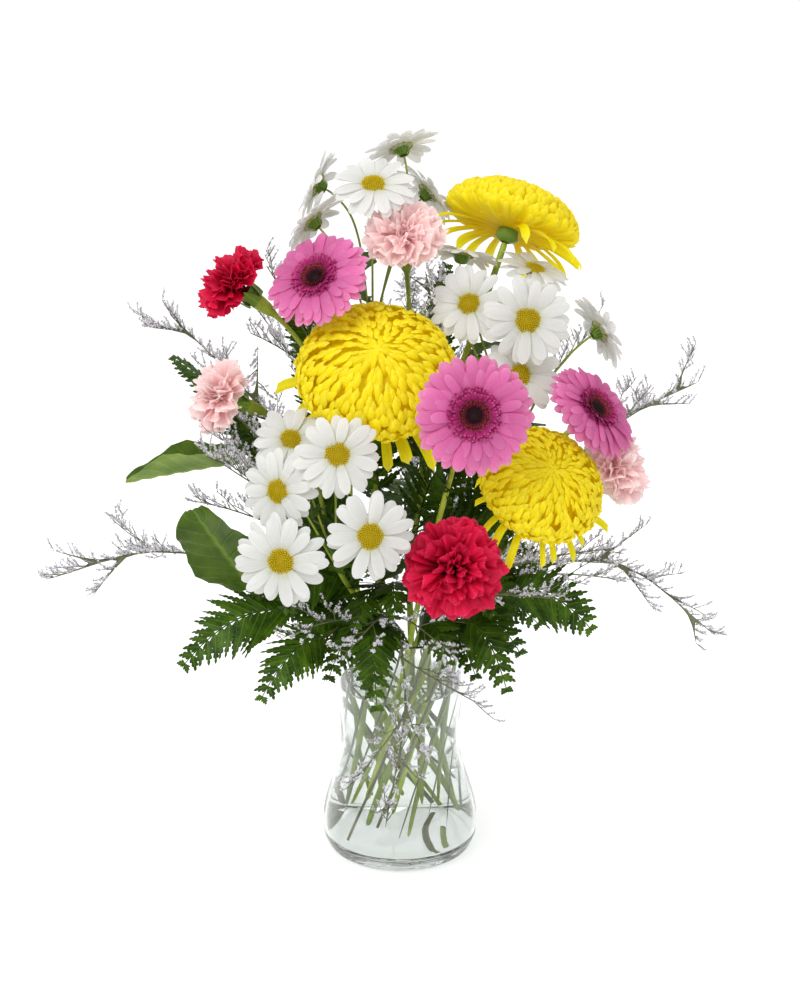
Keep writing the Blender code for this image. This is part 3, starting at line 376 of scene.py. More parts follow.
def make_materials():
    """All the materials by name. A stop is its position along the petal, and its red, green and blue."""
    pink = [(0.0, 0.58, 0.05, 0.26), (0.30, 0.80, 0.15, 0.44), (0.75, 0.89, 0.25, 0.55),
            (1.0, 0.94, 0.42, 0.68)]
    # Mum yellow: the deeper orange at each petal's base is painted shade between the petals, and the paler
    # tip is a painted highlight.
    yellow = [(0.0, 0.88, 0.66, 0.0), (0.45, 0.93, 0.79, 0.004), (0.80, 0.96, 0.85, 0.010),
              (1.0, 0.98, 0.90, 0.07)]
    # Daisy white: greener and greyer at the base, partly the petal's own green base and partly painted shade
    # beside the disc.
    white = [(0.0, 0.62, 0.66, 0.46), (0.22, 0.78, 0.78, 0.75), (1.0, 0.86, 0.86, 0.85)]
    # Carnation red: the near-black base is painted shade deep inside the flower.
    hot = [(0.0, 0.35, 0.002, 0.02), (0.75, 0.78, 0.006, 0.060), (0.97, 0.83, 0.012, 0.085),
           (1.0, 0.88, 0.04, 0.13)]
    pale = [(0.0, 0.92, 0.52, 0.51), (0.6, 0.97, 0.69, 0.68), (0.95, 0.99, 0.79, 0.78), (1.0, 1.0, 0.9, 0.89)]
    trans = [(0.0, 0.36, 0.01, 0.12), (0.6, 0.60, 0.03, 0.24), (1.0, 0.85, 0.33, 0.52)]
    anther = [(0.0, 0.10, 0.004, 0.02), (0.6, 0.35, 0.02, 0.05), (1.0, 0.85, 0.40, 0.24)]
    core = [(0.0, 0.004, 0.001, 0.002), (0.6, 0.014, 0.002, 0.004), (1.0, 0.050, 0.006, 0.012)]
    disc = [(0.0, 0.42, 0.44, 0.015), (0.5, 0.78, 0.58, 0.008), (1.0, 0.96, 0.72, 0.02)]
    lilac = [(0.0, 0.46, 0.43, 0.47), (0.35, 0.78, 0.76, 0.81), (1.0, 0.97, 0.96, 0.98)]
    # Each glow here, and the mum's last setting, is a painted glow: emission in the petal's own colour. The
    # florets' glow is the strongest and whitens them.
    return {
        "gerbera": petal_material("gerbera_petal", pink, 7.0, vein_share=0.26, tone_share=0.16),
        "inner": petal_material("gerbera_inner", trans, 3.0),
        "anther": petal_material("gerbera_anther", anther, 3.0, 0.6),
        "core": petal_material("gerbera_core", core, 3.0, 0.55, through=0.0),
        "mum": petal_material("mum_petal", yellow, 3.0, 0.5, 0.10, 0.08, 0.45, 0.12),
        "daisy": petal_material("daisy_petal", white, 5.0, vein_share=0.10, tone_share=0.08, painted_glow=0.06),
        "daisy_eye": petal_material("daisy_eye", disc, 3.0, 0.6),
        "carnation": petal_material("carnation_petal", hot, 15.0, vein_share=0.12),
        "pale": petal_material("carnation_pale_petal", pale, 15.0, 0.5, 0.10, 0.06, painted_glow=0.07),
        "calyx": green_material("calyx_green", (0.10, 0.19, 0.022), (0.21, 0.33, 0.045)),
        "fern": green_material("fern_green", (0.018, 0.050, 0.002), (0.074, 0.155, 0.005), 0.45),
        "leaf": green_material("leaf_green", (0.028, 0.064, 0.002), (0.078, 0.138, 0.004), 0.36, 60.0, 7.0),
        "leaf_under": green_material("leaf_under", (0.15, 0.25, 0.035), (0.27, 0.38, 0.075), 0.5, 60.0, 9.0),
        "leaf_small": green_material("leaf_small", (0.022, 0.06, 0.004), (0.075, 0.15, 0.012), 0.45, 80.0, 5),
        "stem": stem_material("stem_green", (0.17, 0.24, 0.014), (0.38, 0.47, 0.040)),
        "stem_thick": stem_material("stem_yellow_green", (0.40, 0.53, 0.025), (0.68, 0.76, 0.085)),
        "stem_brown": stem_material("stem_olive_brown", (0.085, 0.080, 0.030), (0.19, 0.19, 0.060)),
        "sprig": stem_material("sprig_grey_green", (0.085, 0.105, 0.045), (0.18, 0.20, 0.10)),
        "floret": petal_material("floret_lilac", lilac, 2.0, tone_share=0.35, through=0.2, painted_glow=0.35),
        "glass": glass_material("vase_glass", (0.92, 0.945, 0.935), 1.5, 0.6),
        "water": glass_material("water_clear", (0.96, 0.975, 0.955), 1.333),
    }


MATERIALS = make_materials()


# ---- shapes

class Shape:
    """Points and faces gathered for one piece, with the values that its materials read."""

    def __init__(self):
        self.points, self.faces, self.slots = [], [], []
        self.values = {"along": [], "across": [], "tone": []}
        self.count = 0

    def add(self, points, faces, slot, along, across, tone):
        points = np.asarray(points, float).reshape(-1, 3)
        self.points.append(points)
        self.faces.append(np.asarray(faces, int) + self.count)
        self.slots.append(np.full(len(faces), slot))
        for key, value in (("along", along), ("across", across), ("tone", tone)):
            self.values[key].append(np.broadcast_to(np.asarray(value, float), len(points)))
        self.count += len(points)

    def sheet(self, grid, slot=0, tone=1.0, wrap=False, edges=(-1.0, 1.0)):
        """A grid of points, rows along and columns across; wrap joins the last column to the first."""
        rows, cols = grid.shape[:2]
        along = np.repeat(np.linspace(0, 1, rows), cols)
        across = np.full(rows * cols, 0.5) if wrap else np.tile(np.linspace(*edges, cols), rows)
        self.add(grid, grid_faces(rows, cols, wrap), slot, along, across, tone)

    def scatter(self, template, places, slot):
        """Copies of a small shape. A place is its origin, its three axes as rows, its size and its tone."""
        points, faces, along, across = template
        origins = np.array([p[0] for p in places])
        frames = np.array([p[1] for p in places])
        sizes = np.array([p[2] for p in places])
        tones = np.array([p[3] for p in places])
        placed = np.einsum("tk,nkc->ntc", points, frames) * sizes[:, None, None] + origins[:, None, :]
        shifted = faces[None] + (np.arange(len(places)) * len(points))[:, None, None]
        along, across = np.tile(along, len(places)), np.tile(across, len(places))
        self.add(placed, shifted.reshape(-1, 4), slot, along, across, np.repeat(tones, len(points)))

    def object(self, name, *materials):
        """The piece itself, with these materials for its slots."""
        points, faces = np.concatenate(self.points), np.concatenate(self.faces)
        mesh = bpy.data.meshes.new(name)
        mesh.from_pydata(points.tolist(), [], faces.tolist())
        for key, values in self.values.items():
            mesh.attributes.new(key, "FLOAT", "POINT").data.foreach_set("value", np.concatenate(values))
        for key in materials:
            mesh.materials.append(MATERIALS[key])
        mesh.polygons.foreach_set("material_index", np.concatenate(self.slots).astype(np.int32))
        mesh.shade_smooth()
        return linked(name, mesh)


def grid_faces(rows, cols, wrap=False):
    """The quads of a grid of points numbered row by row."""
    index = np.arange(rows * cols).reshape(rows, cols)
    if wrap:
        index = np.concatenate([index, index[:, :1]], 1)
    return np.stack([index[:-1, :-1], index[:-1, 1:], index[1:, 1:], index[1:, :-1]], -1).reshape(-1, 4)


def bezier(corners, t):
    """Points of a cubic curve at the shares t; corners are four points."""
    a, b, c, d = (np.asarray(p, float) for p in corners)
    t = np.asarray(t)[:, None]
    return a * (1 - t) ** 3 + b * 3 * t * (1 - t) ** 2 + c * 3 * t**2 * (1 - t) + d * t**3


def along_line(line, marks, share):
    """The point of a line at a share of it; marks are the shares of its own points."""
    return np.array([np.interp(share, marks, line[:, k]) for k in range(3)])


def unit(v):
    return v / np.maximum(np.linalg.norm(v, axis=-1, keepdims=True), 1e-12)


def spun(points, turn):
    """Points turned round +Z."""
    c, s = cos(turn), sin(turn)
    return points @ np.array([[c, s, 0], [-s, c, 0], [0, 0, 1]])


def strap(line, half_width, cols, cup=0.0, roll=0.0, grooves=0.0):
    """A petal along a line in the XZ plane: half_width for each row, cupped towards -normal at its edges."""
    rows = len(line)
    tangent = np.gradient(line, axis=0)
    tangent /= np.linalg.norm(tangent, axis=1)[:, None]
    side = np.array([0.0, 1.0, 0.0])
    normal = np.cross(tangent, side)
    c, s = cos(roll), sin(roll)
    across = side * c + normal * s
    upward = normal * c - side * s
    u = np.linspace(-1, 1, cols)
    wide = np.asarray(half_width)[:, None, None]
    grid = line[:, None, :] + across[:, None, :] * u[None, :, None] * wide
    dip = (-cup * u**2 + grooves * np.cos(3 * pi * u) * (1 - u**2))[None, :, None] * wide
    return (grid + upward[:, None, :] * dip).reshape(rows, cols, 3)


def around(rng, k, count, stray):
    """The turn of the one numbered k of count round a circle, off by up to stray of a step either way."""
    return (k + rng.uniform(-stray, stray)) * TAU / count


def rounded(s, neck, widest, power=2.0):
    """How wide a petal is, as a share, along its length: neck at the base and a round tip."""
    rise = neck + (1 - neck) * np.sin(np.clip(s / widest, 0, 1) * pi / 2)
    fall = np.sqrt(np.maximum(0, 1 - np.clip((s - widest) / (1 - widest), 0, 1) ** power))
    return rise * fall


def head_frame(node, sign):
    """A CAD flower head's place, from its underside's middle with its facing as Z, its radius and depth."""
    mesh = NODES[node].data
    points = np.unique(np.round([v.co[:] for v in mesh.vertices], 6), axis=0)
    middle = points.mean(0)
    values, vectors = np.linalg.eigh(np.cov((points - middle).T))
    axis = vectors[:, 0] if values[1] - values[0] > values[2] - values[1] else vectors[:, 2]
    reach = (points - middle) @ axis
    out = np.linalg.norm(points - middle - reach[:, None] * axis, axis=1)
    wide = reach[out > out.max() * 0.8].mean()
    if sign * (wide - (reach.max() + reach.min()) / 2) < 0:
        axis, reach = -axis, -reach
    base = middle + axis * reach.min()
    low = points[reach < reach.min() + 1e-4]
    base = base + (low.mean(0) - base) - axis * ((low.mean(0) - base) @ axis)
    facing = Vector(axis)
    matrix = facing.to_track_quat("Z", "Y").to_matrix().to_4x4()
    matrix.translation = Vector(base)
    return matrix, out.max(), reach.max() - reach.min()


# ---- flower heads

def dome_bumps(shape, rng, count, radius, height, z0, size, slot, tones):
    """Small pointed florets in a spiral over a low dome. Their tone depends on how far out they are."""
    for k in range(count):
        share = sqrt((k + 0.5) / count)
        turn = k * GOLDEN_TURN
        r = radius * share
        z = z0 + height * (1 - share**2)
        lean = share * 0.6
        wide = size * (0.75 + 0.5 * share) * rng.uniform(0.85, 1.15)
        tall = wide * rng.uniform(1.2, 1.8)
        centre = np.array([r * cos(turn), r * sin(turn), z])
        axis = np.array([sin(lean) * cos(turn), sin(lean) * sin(turn), cos(lean)])
        one = np.cross(axis, [0.3, 0.7, 0.2])
        one /= np.linalg.norm(one)
        two = np.cross(axis, one)
        rings = []
        for up, out in ((-0.3, 0.75), (0.35, 1.0), (0.85, 0.55), (1.0, 0.02)):
            turns = np.arange(5) * TAU / 5
            ring = centre + axis * tall * up
            rings.append(ring + wide * out * (np.cos(turns)[:, None] * one + np.sin(turns)[:, None] * two))
        shape.sheet(np.array(rings), slot, tones(share), wrap=True)


def petal_ring(shape, rng, radius, level, count, start, lengths, width, heights, droop, slot=0, neck=0.35,
               widest=0.62, rows=9, cols=5, cup=0.18, turn0=0.0, grooves=0.05):
    """A ring of petals. Where they start, their lengths and their half width are shares of the head's radius;
    the heights of their bases above the level, and how far their tips droop, are in metres."""
    start, width = radius * start, radius * width
    t = 1 - (1 - np.linspace(0, 1, rows)) ** 1.5
    for k in range(count):
        length = rng.uniform(*(radius * share for share in lengths))
        drop = rng.uniform(*droop)
        lift = rng.uniform(*(level + height for height in heights))
        line = bezier([(start, 0, lift), (start + length * 0.35, 0, lift + length * 0.12),
                       (start + length * 0.75, 0, lift + length * 0.10 - drop * 0.3),
                       (start + length, 0, lift - drop)], t)
        half = width * rng.uniform(0.88, 1.12) * rounded(t, neck, widest)
        grid = strap(line, half, cols, cup * rng.uniform(0.4, 1.6), rng.gauss(0, 0.10), grooves)
        shape.sheet(spun(grid, turn0 + around(rng, k, count, 0.22)), slot, rng.random())


def bowl(shape, slot, profile, sides, tone=0.8):
    """A turned cup: profile is (radius, height) from the bottom up."""
    turns = np.arange(sides) * TAU / sides
    grid = np.array([[(r * cos(a), r * sin(a), z) for a in turns] for r, z in profile])
    shape.sheet(grid, slot, tone, wrap=True)


# A gerbera's rings of petals, and of the small florets round its disc, as petal_ring takes them
GERBERA_RINGS = [
    (27, 0.20, (0.74, 0.80), 0.112, (-0.0020, -0.0005), (0.001, 0.005), {"widest": 0.70}),
    (25, 0.20, (0.68, 0.76), 0.105, (0.0005, 0.0015), (-0.001, 0.003), {"widest": 0.70, "turn0": 0.12}),
    (17, 0.20, (0.50, 0.60), 0.085, (0.0020, 0.0030), (-0.002, 0.001), {"widest": 0.68, "turn0": 0.3}),
    (46, 0.335, (0.104, 0.156), 0.026, (0.0022, 0.0034), (-0.0035, -0.0015), {"slot": 1}),
    (44, 0.29, (0.104, 0.156), 0.026, (0.0034, 0.0046), (-0.0035, -0.0015), {"slot": 1, "turn0": 0.07}),
    (40, 0.25, (0.096, 0.144), 0.026, (0.0046, 0.0058), (-0.0035, -0.0015), {"slot": 1, "turn0": 0.14}),
    (60, 0.17, (0.07, 0.11), 0.010, (0.0030, 0.0042), (-0.0040, -0.0025), {"slot": 2}),
    (48, 0.13, (0.06, 0.09), 0.010, (0.0030, 0.0040), (-0.0030, -0.0020), {"slot": 2}),
]
GERBERA_SLOTS = [{}, {"rows": 5, "cols": 3, "cup": -0.4, "neck": 0.6}, {"rows": 4, "cols": 3, "neck": 0.8}]


def gerbera(node):
    matrix, radius, depth = head_frame(node, 1)
    rng = random.Random(node)
    shape = Shape()
    level = depth * 0.70
    for *sizes, looks in GERBERA_RINGS:
        petal_ring(shape, rng, radius, level, *sizes, **looks, **GERBERA_SLOTS[looks.get("slot", 0)])
    dome_bumps(shape, rng, 130, radius * 0.165, 0.0018, level + 0.0024, radius * 0.012, 4,
               lambda share: rng.uniform(0.1, 0.9))
    bowl(shape, 4, [(radius * 0.30, level - 0.002), (radius * 0.24, level + 0.0015),
                    (radius * 0.10, level + 0.002), (0.0001, level + 0.002)], 24)
    green_cup(shape, rng, 3, radius * 0.30, level, 26)
    piece = shape.object(node + "_petals", "gerbera", "inner", "anther", "calyx", "core")
    finish_piece(piece, matrix, "petals_gerbera", node)


def green_cup(shape, rng, slot, radius, level, bracts):
    """The green cup under a composite flower, with its overlapping bracts."""
    profile = [(0.0030, 0.0), (radius * 0.55, level * 0.18), (radius * 0.85, level * 0.50),
               (radius * 0.95, level * 0.92)]
    bowl(shape, slot, profile, 20, 0.7)
    t = np.linspace(0, 1, 5)
    for k in range(bracts):
        lower = k % 2
        tip = (radius * (1.22 - 0.15 * lower), 0, level * (0.93 - 0.2 * lower))
        middle = (radius * 0.95, 0, level * 0.5)
        line = bezier([(0.0035, 0, 0.0004), (radius * 0.70, 0, level * 0.10), middle, tip], t)
        line[:, 0] += 0.0006 + 0.0004 * lower
        half = radius * 0.11 * (1 - t**2.5) + 0.0001
        grid = strap(line, half, 3, -0.3, rng.gauss(0, 0.1))
        shape.sheet(spun(grid, around(rng, k, bracts, 0.2)), slot, rng.uniform(0.5, 1))


def daisy(node):
    matrix, radius, depth = head_frame(node, 1)
    rng = random.Random(node)
    shape = Shape()
    level = depth * 0.72
    count = rng.choice((13, 14))
    looks = {"widest": 0.60, "neck": 0.42, "cols": 7, "cup": 0.16, "grooves": 0.07}
    for sizes in ((count, 0.16, (0.74, 0.86), 0.148, (-0.0015, -0.0002), (-0.001, 0.006)),
                  (count - 2, 0.16, (0.64, 0.82), 0.142, (0.0002, 0.0015), (-0.004, 0.004))):
        petal_ring(shape, rng, radius, level, *sizes, turn0=0.0 if sizes[0] == count else 0.25, **looks)
    dome_bumps(shape, rng, 150, radius * 0.290, radius * 0.095, level + 0.0004, radius * 0.0200, 1,
               lambda share: min(1.0, 0.25 + 0.75 * share) * rng.uniform(0.8, 1.0))
    bowl(shape, 1, [(radius * 0.30, level - 0.001), (radius * 0.285, level + 0.0006),
                    (radius * 0.14, level + radius * 0.07), (0.0001, level + radius * 0.09)], 20, 0.3)
    green_cup(shape, rng, 2, radius * 0.19, level, 16)
    finish_piece(shape.object(node + "_petals", "daisy", "daisy_eye", "calyx"), matrix, "petals_daisy", node)


def mum(node):
    """A football mum: short petals that curl in over a dome, and long ones hanging from its rim."""
    matrix, radius, depth = head_frame(node, -1)
    rng = random.Random(node)
    shape = Shape()
    level = depth * 0.40
    t = np.linspace(0, 1, 8)

    def dome(angle, share):
        half_height = depth - level if angle < pi / 2 else level
        return np.array([radius * share * sin(angle), 0, level + half_height * share * cos(angle)])

    for k in range(MUM_SCALES):
        angle = radians(-4 + 94 * ((k + 0.5) / MUM_SCALES) ** 0.62)
        flat = min(1.0, max(0.0, angle) / 1.45)
        span = radians(13 + 15 * flat)
        lift = rng.uniform(0.97, 1.03)
        line = bezier([dome(angle + span * 1.4, 0.72), dome(angle + span * 1.05, 0.99 * lift),
                       dome(angle + span * 0.45, 1.07 * lift),
                       dome(angle + rng.uniform(-0.04, 0.04), 1.01 * lift)], t)
        half = radius * (0.032 + 0.034 * flat) * rng.uniform(0.85, 1.15) * rounded(t, 0.60, 0.74, 2.6)
        grid = strap(line, half, 5, -0.50, rng.gauss(0, 0.20))
        shape.sheet(spun(grid, k * GOLDEN_TURN + rng.gauss(0, 0.08)), 0, rng.random())
    for tip_angle, inner, count in ((84, 0.62, 36), (93, 0.50, 34), (101, 0.35, 30)):
        for k in range(count):
            turn = around(rng, k, count, 0.4)
            angle = radians(tip_angle + rng.uniform(-5, 5))
            far = rng.uniform(0.98, 1.07)
            line = bezier([dome(radians(165), 0.45), dome(radians(128), 0.80 + 0.1 * inner),
                           dome(angle + 0.30, far * 0.99), dome(angle, far)], t)
            half = radius * 0.066 * rng.uniform(0.8, 1.1) * rounded(t, 0.5, 0.75, 2.4)
            shape.sheet(spun(strap(line, half, 5, -0.50, rng.gauss(0, 0.2)), turn), 0, rng.random())

    # The long petals that hang from the side of the rim that gravity pulls on
    down = np.array(matrix.to_3x3().inverted() @ -UP)
    facing_down = atan2(down[1], down[0])
    for k in range(MUM_HANGING_PETALS):
        turn = facing_down + (k - MUM_HANGING_PETALS // 2 + rng.uniform(-0.35, 0.35)) * radians(19)
        out = rng.uniform(1.02, 1.30) * radius
        line = bezier([(radius * 0.25, 0, level * 0.55), (radius * 0.80, 0, level * 0.35),
                       (out * 0.97, 0, level * 0.30), (out, 0, level * rng.uniform(0.0, 0.5))], t)
        half = radius * 0.074 * rng.uniform(0.8, 1.15) * rounded(t, 0.5, 0.78, 2.4)
        grid = spun(strap(line, half, 7, -0.55, rng.gauss(0, 0.25)), turn)
        grid = grid + down * (t**2.2)[:, None, None] * rng.uniform(0.08, 0.36) * radius
        shape.sheet(grid, 0, rng.random())
    bowl(shape, 1, [(0.0036, 0.0), (radius * 0.10, depth * 0.02), (radius * 0.18, depth * 0.08),
                    (radius * 0.15, depth * 0.22)], 18)
    filling = [tuple(dome(radians(a), 0.80)[[0, 2]]) for a in (125, 105, 85, 65, 45, 25, 8, 0.1)]
    bowl(shape, 0, filling, 24, 0.9)
    piece = shape.object(node + "_petals", "mum", "calyx")
    finish_piece(piece, matrix, "petals_mum", node)


# A carnation's rings of petals: lean from upright in degrees, how many, and as shares of the radius: half
# width, ruffle and how far the tips reach
CARNATION_RINGS = [
    (5, 3, 0.26, 0.15, 0.72),
    (17, 5, 0.34, 0.16, 0.78),
    (33, 6, 0.42, 0.15, 0.86),
    (50, 7, 0.46, 0.13, 0.92),
    (68, 8, 0.52, 0.13, 0.97),
    (86, 9, 0.54, 0.11, 1.00),
    (102, 9, 0.52, 0.085, 0.96),
]


def carnation(node):
    """A carnation: rings of fan petals, deeply ruffled, with fine teeth along their edges, over a calyx."""
    matrix, radius, depth = head_frame(node, 1)
    rng = random.Random(node)
    shape = Shape()
    rows, cols = 10, 45
    t = np.linspace(0, 1, rows) ** 0.75
    u = np.linspace(-1, 1, cols)
    teeth = np.where(np.arange(cols) % 2, 0.011, -0.011) * radius
    for lean, count, wide, ruffle, far in CARNATION_RINGS:
        start = rng.uniform(0, TAU)
        for k in range(count):
            tilt = radians(lean + rng.uniform(-11, 11))
            reach = radius * far * rng.uniform(0.93, 1.04)
            tip = (reach * sin(tilt), 0, depth * 0.44 + depth * 0.54 * far * cos(tilt))
            line = bezier([(0.001, 0, 0.001), (radius * 0.06, 0, depth * 0.42),
                           (tip[0] * 0.60, 0, max(tip[2], depth * 0.45) + depth * 0.03), tip], t)
            half = radius * wide * rng.uniform(0.85, 1.1) * (0.10 + 0.90 * t**1.5)
            grid = strap(line, half, cols, 0.0, rng.gauss(0, 0.30))
            tangent = unit(np.gradient(line, axis=0))
            normal = np.cross(tangent, [0, 1, 0])
            slow = np.sin(rng.uniform(1.4, 2.3) * pi * u + rng.uniform(0, 6.28))
            quick = np.sin(rng.uniform(3.2, 4.6) * pi * u + rng.uniform(0, 6.28))
            fold = (t**1.7)[:, None] * (slow + 0.5 * quick) * ruffle * radius * rng.uniform(0.8, 1.25)
            grid = grid + normal[:, None, :] * fold[:, :, None]
            round_off = -(1 - np.cos(u * 1.1)) * 0.85
            notch = 0.05 * radius * np.sin(rng.uniform(2.0, 3.2) * pi * u + rng.uniform(0, 6.28))
            slide = round_off[None, :] * half[:, None] + (t**6)[:, None] * notch[None, :]
            slide[-1] += teeth
            grid = grid + tangent[:, None, :] * slide[:, :, None]
            shape.sheet(spun(grid, start + around(rng, k, count, 0.25)), 0, rng.random())
    t5 = np.linspace(0, 1, 5)
    for k in range(5):
        line = bezier([(0.0068, 0, -0.010), (0.0082, 0, -0.004), (0.0088, 0, 0.001), (0.0100, 0, 0.005)], t5)
        half = 0.0046 * (1 - t5**2) + 0.0002
        shape.sheet(spun(strap(line, half, 3, 0.2), k * TAU / 5), 1, rng.uniform(0.6, 1))
    bowl(shape, 1, [(0.0060, -0.008), (0.0075, -0.002), (0.0076, 0.002)], 16)
    kind = "pale" if "pale" in node else "carnation"
    finish_piece(shape.object(node + "_petals", kind, "calyx"), matrix, "petals_" + kind, node)


def finish_piece(piece, matrix, slot, *nodes):
    """Puts a piece in its place, hides the nodes that it replaces and makes it ride. Its slot, what it stands
    for, is not used.
    """
    if matrix is not None:
        piece.matrix_world = matrix
    if nodes:
        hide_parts(*nodes)
    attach(piece, "root")


# ---- clear space round the heads

ZONES = []


def note_heads():
    """Keeps where each flower head is, to keep greenery out of it: middle, axis, radius and half depth."""
    for node in NODES:
        if node.endswith("_head"):
            matrix, radius, depth = head_frame(node, -1 if node.startswith("mum") else 1)
            axis = np.array(matrix.to_3x3().col[2])
            ZONES.append((np.array(matrix.translation) + axis * depth / 2, axis, radius, depth / 2))


def clear_of_heads(points, margin=0.0, ahead=0.014):
    """Which of the points lie outside every flower head, and out of the space just in front of its face."""
    points = np.atleast_2d(points)
    clear = np.ones(len(points), bool)
    for middle, axis, radius, half_depth in ZONES:
        offset = points - middle
        along = offset @ axis
        out = np.linalg.norm(offset - along[:, None] * axis, axis=1)
        clear &= (out > radius + margin) | (along < -half_depth - margin) | (along > half_depth + ahead)
    return clear


# ---- ferns and leaves

def axes(point, normal):
    """The three axes of a scattered copy: where it points, across it and its upper side."""
    across = unit(np.cross(normal, point))
    return np.array([point, across, np.cross(point, across)])


def arched(base, tip, lift, count=20):
    """Points from base to tip that rise by lift between them."""
    s = np.linspace(0, 1, count)[:, None]
    return np.asarray(base) * (1 - s) + np.asarray(tip) * s + np.array([0, 0, 1]) * lift * 4 * s * (1 - s)


def frond(shape, rng, rib, half_width, face):
    """A leatherleaf frond along a rib: pairs of tapering side branches with lobed edges, shorter towards the
    tip. Its upper side turns towards face."""
    rib = np.asarray(rib)
    steps = np.linspace(0, 1, len(rib))
    ahead_all = unit(np.gradient(rib, axis=0))
    length = np.linalg.norm(np.diff(rib, axis=0), axis=1).sum()
    pairs = max(6, round(length / 0.0078))
    tube(shape, rib, np.linspace(0.0010, 0.0004, len(rib)), 0, 4, 0.6)
    twist = rng.gauss(0, 0.25)
    for pair in range(pairs + 1):
        share = 0.04 + 0.93 * pair / pairs
        here = along_line(rib, steps, share)
        ahead = unit(along_line(ahead_all, steps, share))
        side = unit(np.cross(ahead, face))
        up = np.cross(side, ahead)
        side, up = side * cos(twist) + up * sin(twist), up * cos(twist) - side * sin(twist)
        reach = half_width * 1.12 * (1 - share) ** 0.72 * (0.85 if pair == 0 else 1.0) + 0.004
        for way in (-1, 1):
            out = unit(side * way * 0.86 + ahead * rng.uniform(0.46, 0.66) - up * rng.uniform(0.0, 0.24))
            pinna(shape, rng, here, out, ahead, reach * rng.uniform(0.9, 1.08), length / pairs)


def turned_up(tip):
    """Which way a frond's upper side faces: up, and to the front or the back, wherever its tip is."""
    return np.array([0.0, -0.80 if tip[1] < 0.03 else 0.60, 0.62])


def pinna(shape, rng, root, out, ahead, reach, spacing):
    """One side branch of a frond: a tapering blade cut into forward-pointing lobes, short of any flower."""
    normal = unit(np.cross(out, ahead))
    normal = normal if normal[2] > 0 else -normal
    across = unit(np.cross(normal, out))
    probes = np.array([0.35, 0.7, 1.0])[:, None]
    while not clear_of_heads(root + out * reach * probes, 0.001).all():
        reach *= 0.7
        if reach < 0.006:
            return
    lobes = max(3, round(reach / 0.0050))
    s = np.linspace(0, 1, lobes * 5 + 1)
    phase = s * lobes % 1.0
    scallop = np.sin(pi * phase**1.35) ** 0.7
    depth = 0.26 + 0.30 * s
    taper = (1 - s**1.5) ** 0.9 * np.clip(s / 0.05, 0.25, 1) + 0.03
    half = min(spacing * 0.64, 0.0018 + reach * 0.19) * taper * (1 - depth + depth * scallop)
    droop = rng.uniform(0.02, 0.20)
    line = root + out * reach * s[:, None] + (ahead * 0.10 - normal * droop) * reach * s[:, None] ** 2
    u = np.array([-1, -0.5, 0, 0.5, 1])
    wide = u[None, :] * half[:, None]
    grid = line[:, None, :] + across * wide[:, :, None]
    off = np.abs(wide)[:, :, None]
    grid = grid + out * (off * 0.75) - normal * (off * rng.uniform(0.05, 0.30))
    shape.sheet(grid, 0, rng.random())


def tube(shape, points, radii, slot, sides=5, tone=0.7):
    """A thin stalk along the points, added to a shape."""
    points = np.array([p[:] for p in points])
    tangent = unit(np.gradient(points, axis=0))
    aside = unit(np.cross(tangent, [0.31, 0.22, 0.93]))
    other = np.cross(tangent, aside)
    turns = np.arange(sides) * TAU / sides
    turns = turns[None, :, None]
    ring = np.cos(turns) * aside[:, None, :] + np.sin(turns) * other[:, None, :]
    grid = points[:, None, :] + ring * np.asarray(radii)[:, None, None]
    shape.sheet(grid, slot, tone, wrap=True)


def blade(shape, rng, base, tip, half_width, upper, rows, cols, fold, droop, lobes, slots, power, start):
    """A pointed leaf, folded along its midrib, with side veins pressed into it and a wavy edge. It is
    rounder when the power is smaller, and wider at its base when the start is larger."""
    base, tip, upper = np.array(base), np.array(tip), np.array(upper)
    along = tip - base
    length = np.linalg.norm(along)
    side = unit(np.cross(along, upper))
    upper = unit(np.cross(side, along))
    s = np.linspace(0, 1, rows)
    width = half_width * np.sin(pi * (start + (0.985 - start) * s)) ** power
    width = width * (1 - lobes * np.abs(np.sin(s * 4.5 * pi)) ** 2)
    phase = rng.uniform(0, 6)
    tone = rng.uniform(0.5, 1.0)
    for slot, first in zip(slots, (-1, 0)):
        u = np.linspace(first, first + 1, cols // 2 + 1)
        off = np.abs(u)
        rise = off[None, :] * width[:, None] * fold - (s**2)[:, None] * length * droop
        rise = rise + 0.09 * half_width * np.sin(s * 12 + phase + u[0])[:, None] * (off**2)[None, :]
        rise = rise - 0.045 * half_width * np.abs(np.sin((s[:, None] * 7 - off[None, :] * 1.4) * pi))
        grid = base + along * s[:, None, None] + side * (u[None, :, None] * width[:, None, None])
        shape.sheet(grid + upper * rise[:, :, None], slot, tone, edges=(u[0], u[-1]))


def make_ferns():
    for name, (base, tip, lift, half_width) in FERNS.items():
        rng = random.Random(name)
        shape = Shape()
        rib = arched(place(base), place(tip), lift / 1000)
        tube(shape, stalk_line(name, rib[0]), [STALK_RADIUS] * STALK_POINTS, 1, 6, 0.6)
        frond(shape, rng, rib, half_width / 1000, turned_up(rib[-1]))
        piece = shape.object(name + "_leaflets", "fern", "stem_brown")
        finish_piece(piece, None, "fern", name)


def stalk_line(node, top):
    """The line of a CAD blade's stalk, from its foot in the water up to the blade."""
    points = np.unique(np.round([v.co[:] for v in NODES[node].data.vertices], 5), axis=0)
    foot = points[points[:, 2] < points[:, 2].min() + 0.0015].mean(0)
    inside = points[(points[:, 2] > VASE_HEIGHT - 0.030) & (points[:, 2] < VASE_HEIGHT + 0.004)]
    near_axis = inside[np.hypot(inside[:, 0], inside[:, 1]) < RIM_RADIUS - WALL]
    rim = near_axis[near_axis[:, 2] > near_axis[:, 2].max() - 0.002].mean(0)
    top = np.array(top)
    lean = unit(rim - foot)
    t = np.linspace(0, 1, STALK_POINTS - 3)
    rise = rim + lean * 0.35 * np.linalg.norm(top - rim)
    upper = bezier([rim, rise, (rim + top) / 2 + [0, 0, 0.012], top], t)
    return np.concatenate([[foot, foot * 0.66 + rim * 0.34, foot * 0.33 + rim * 0.67], upper])


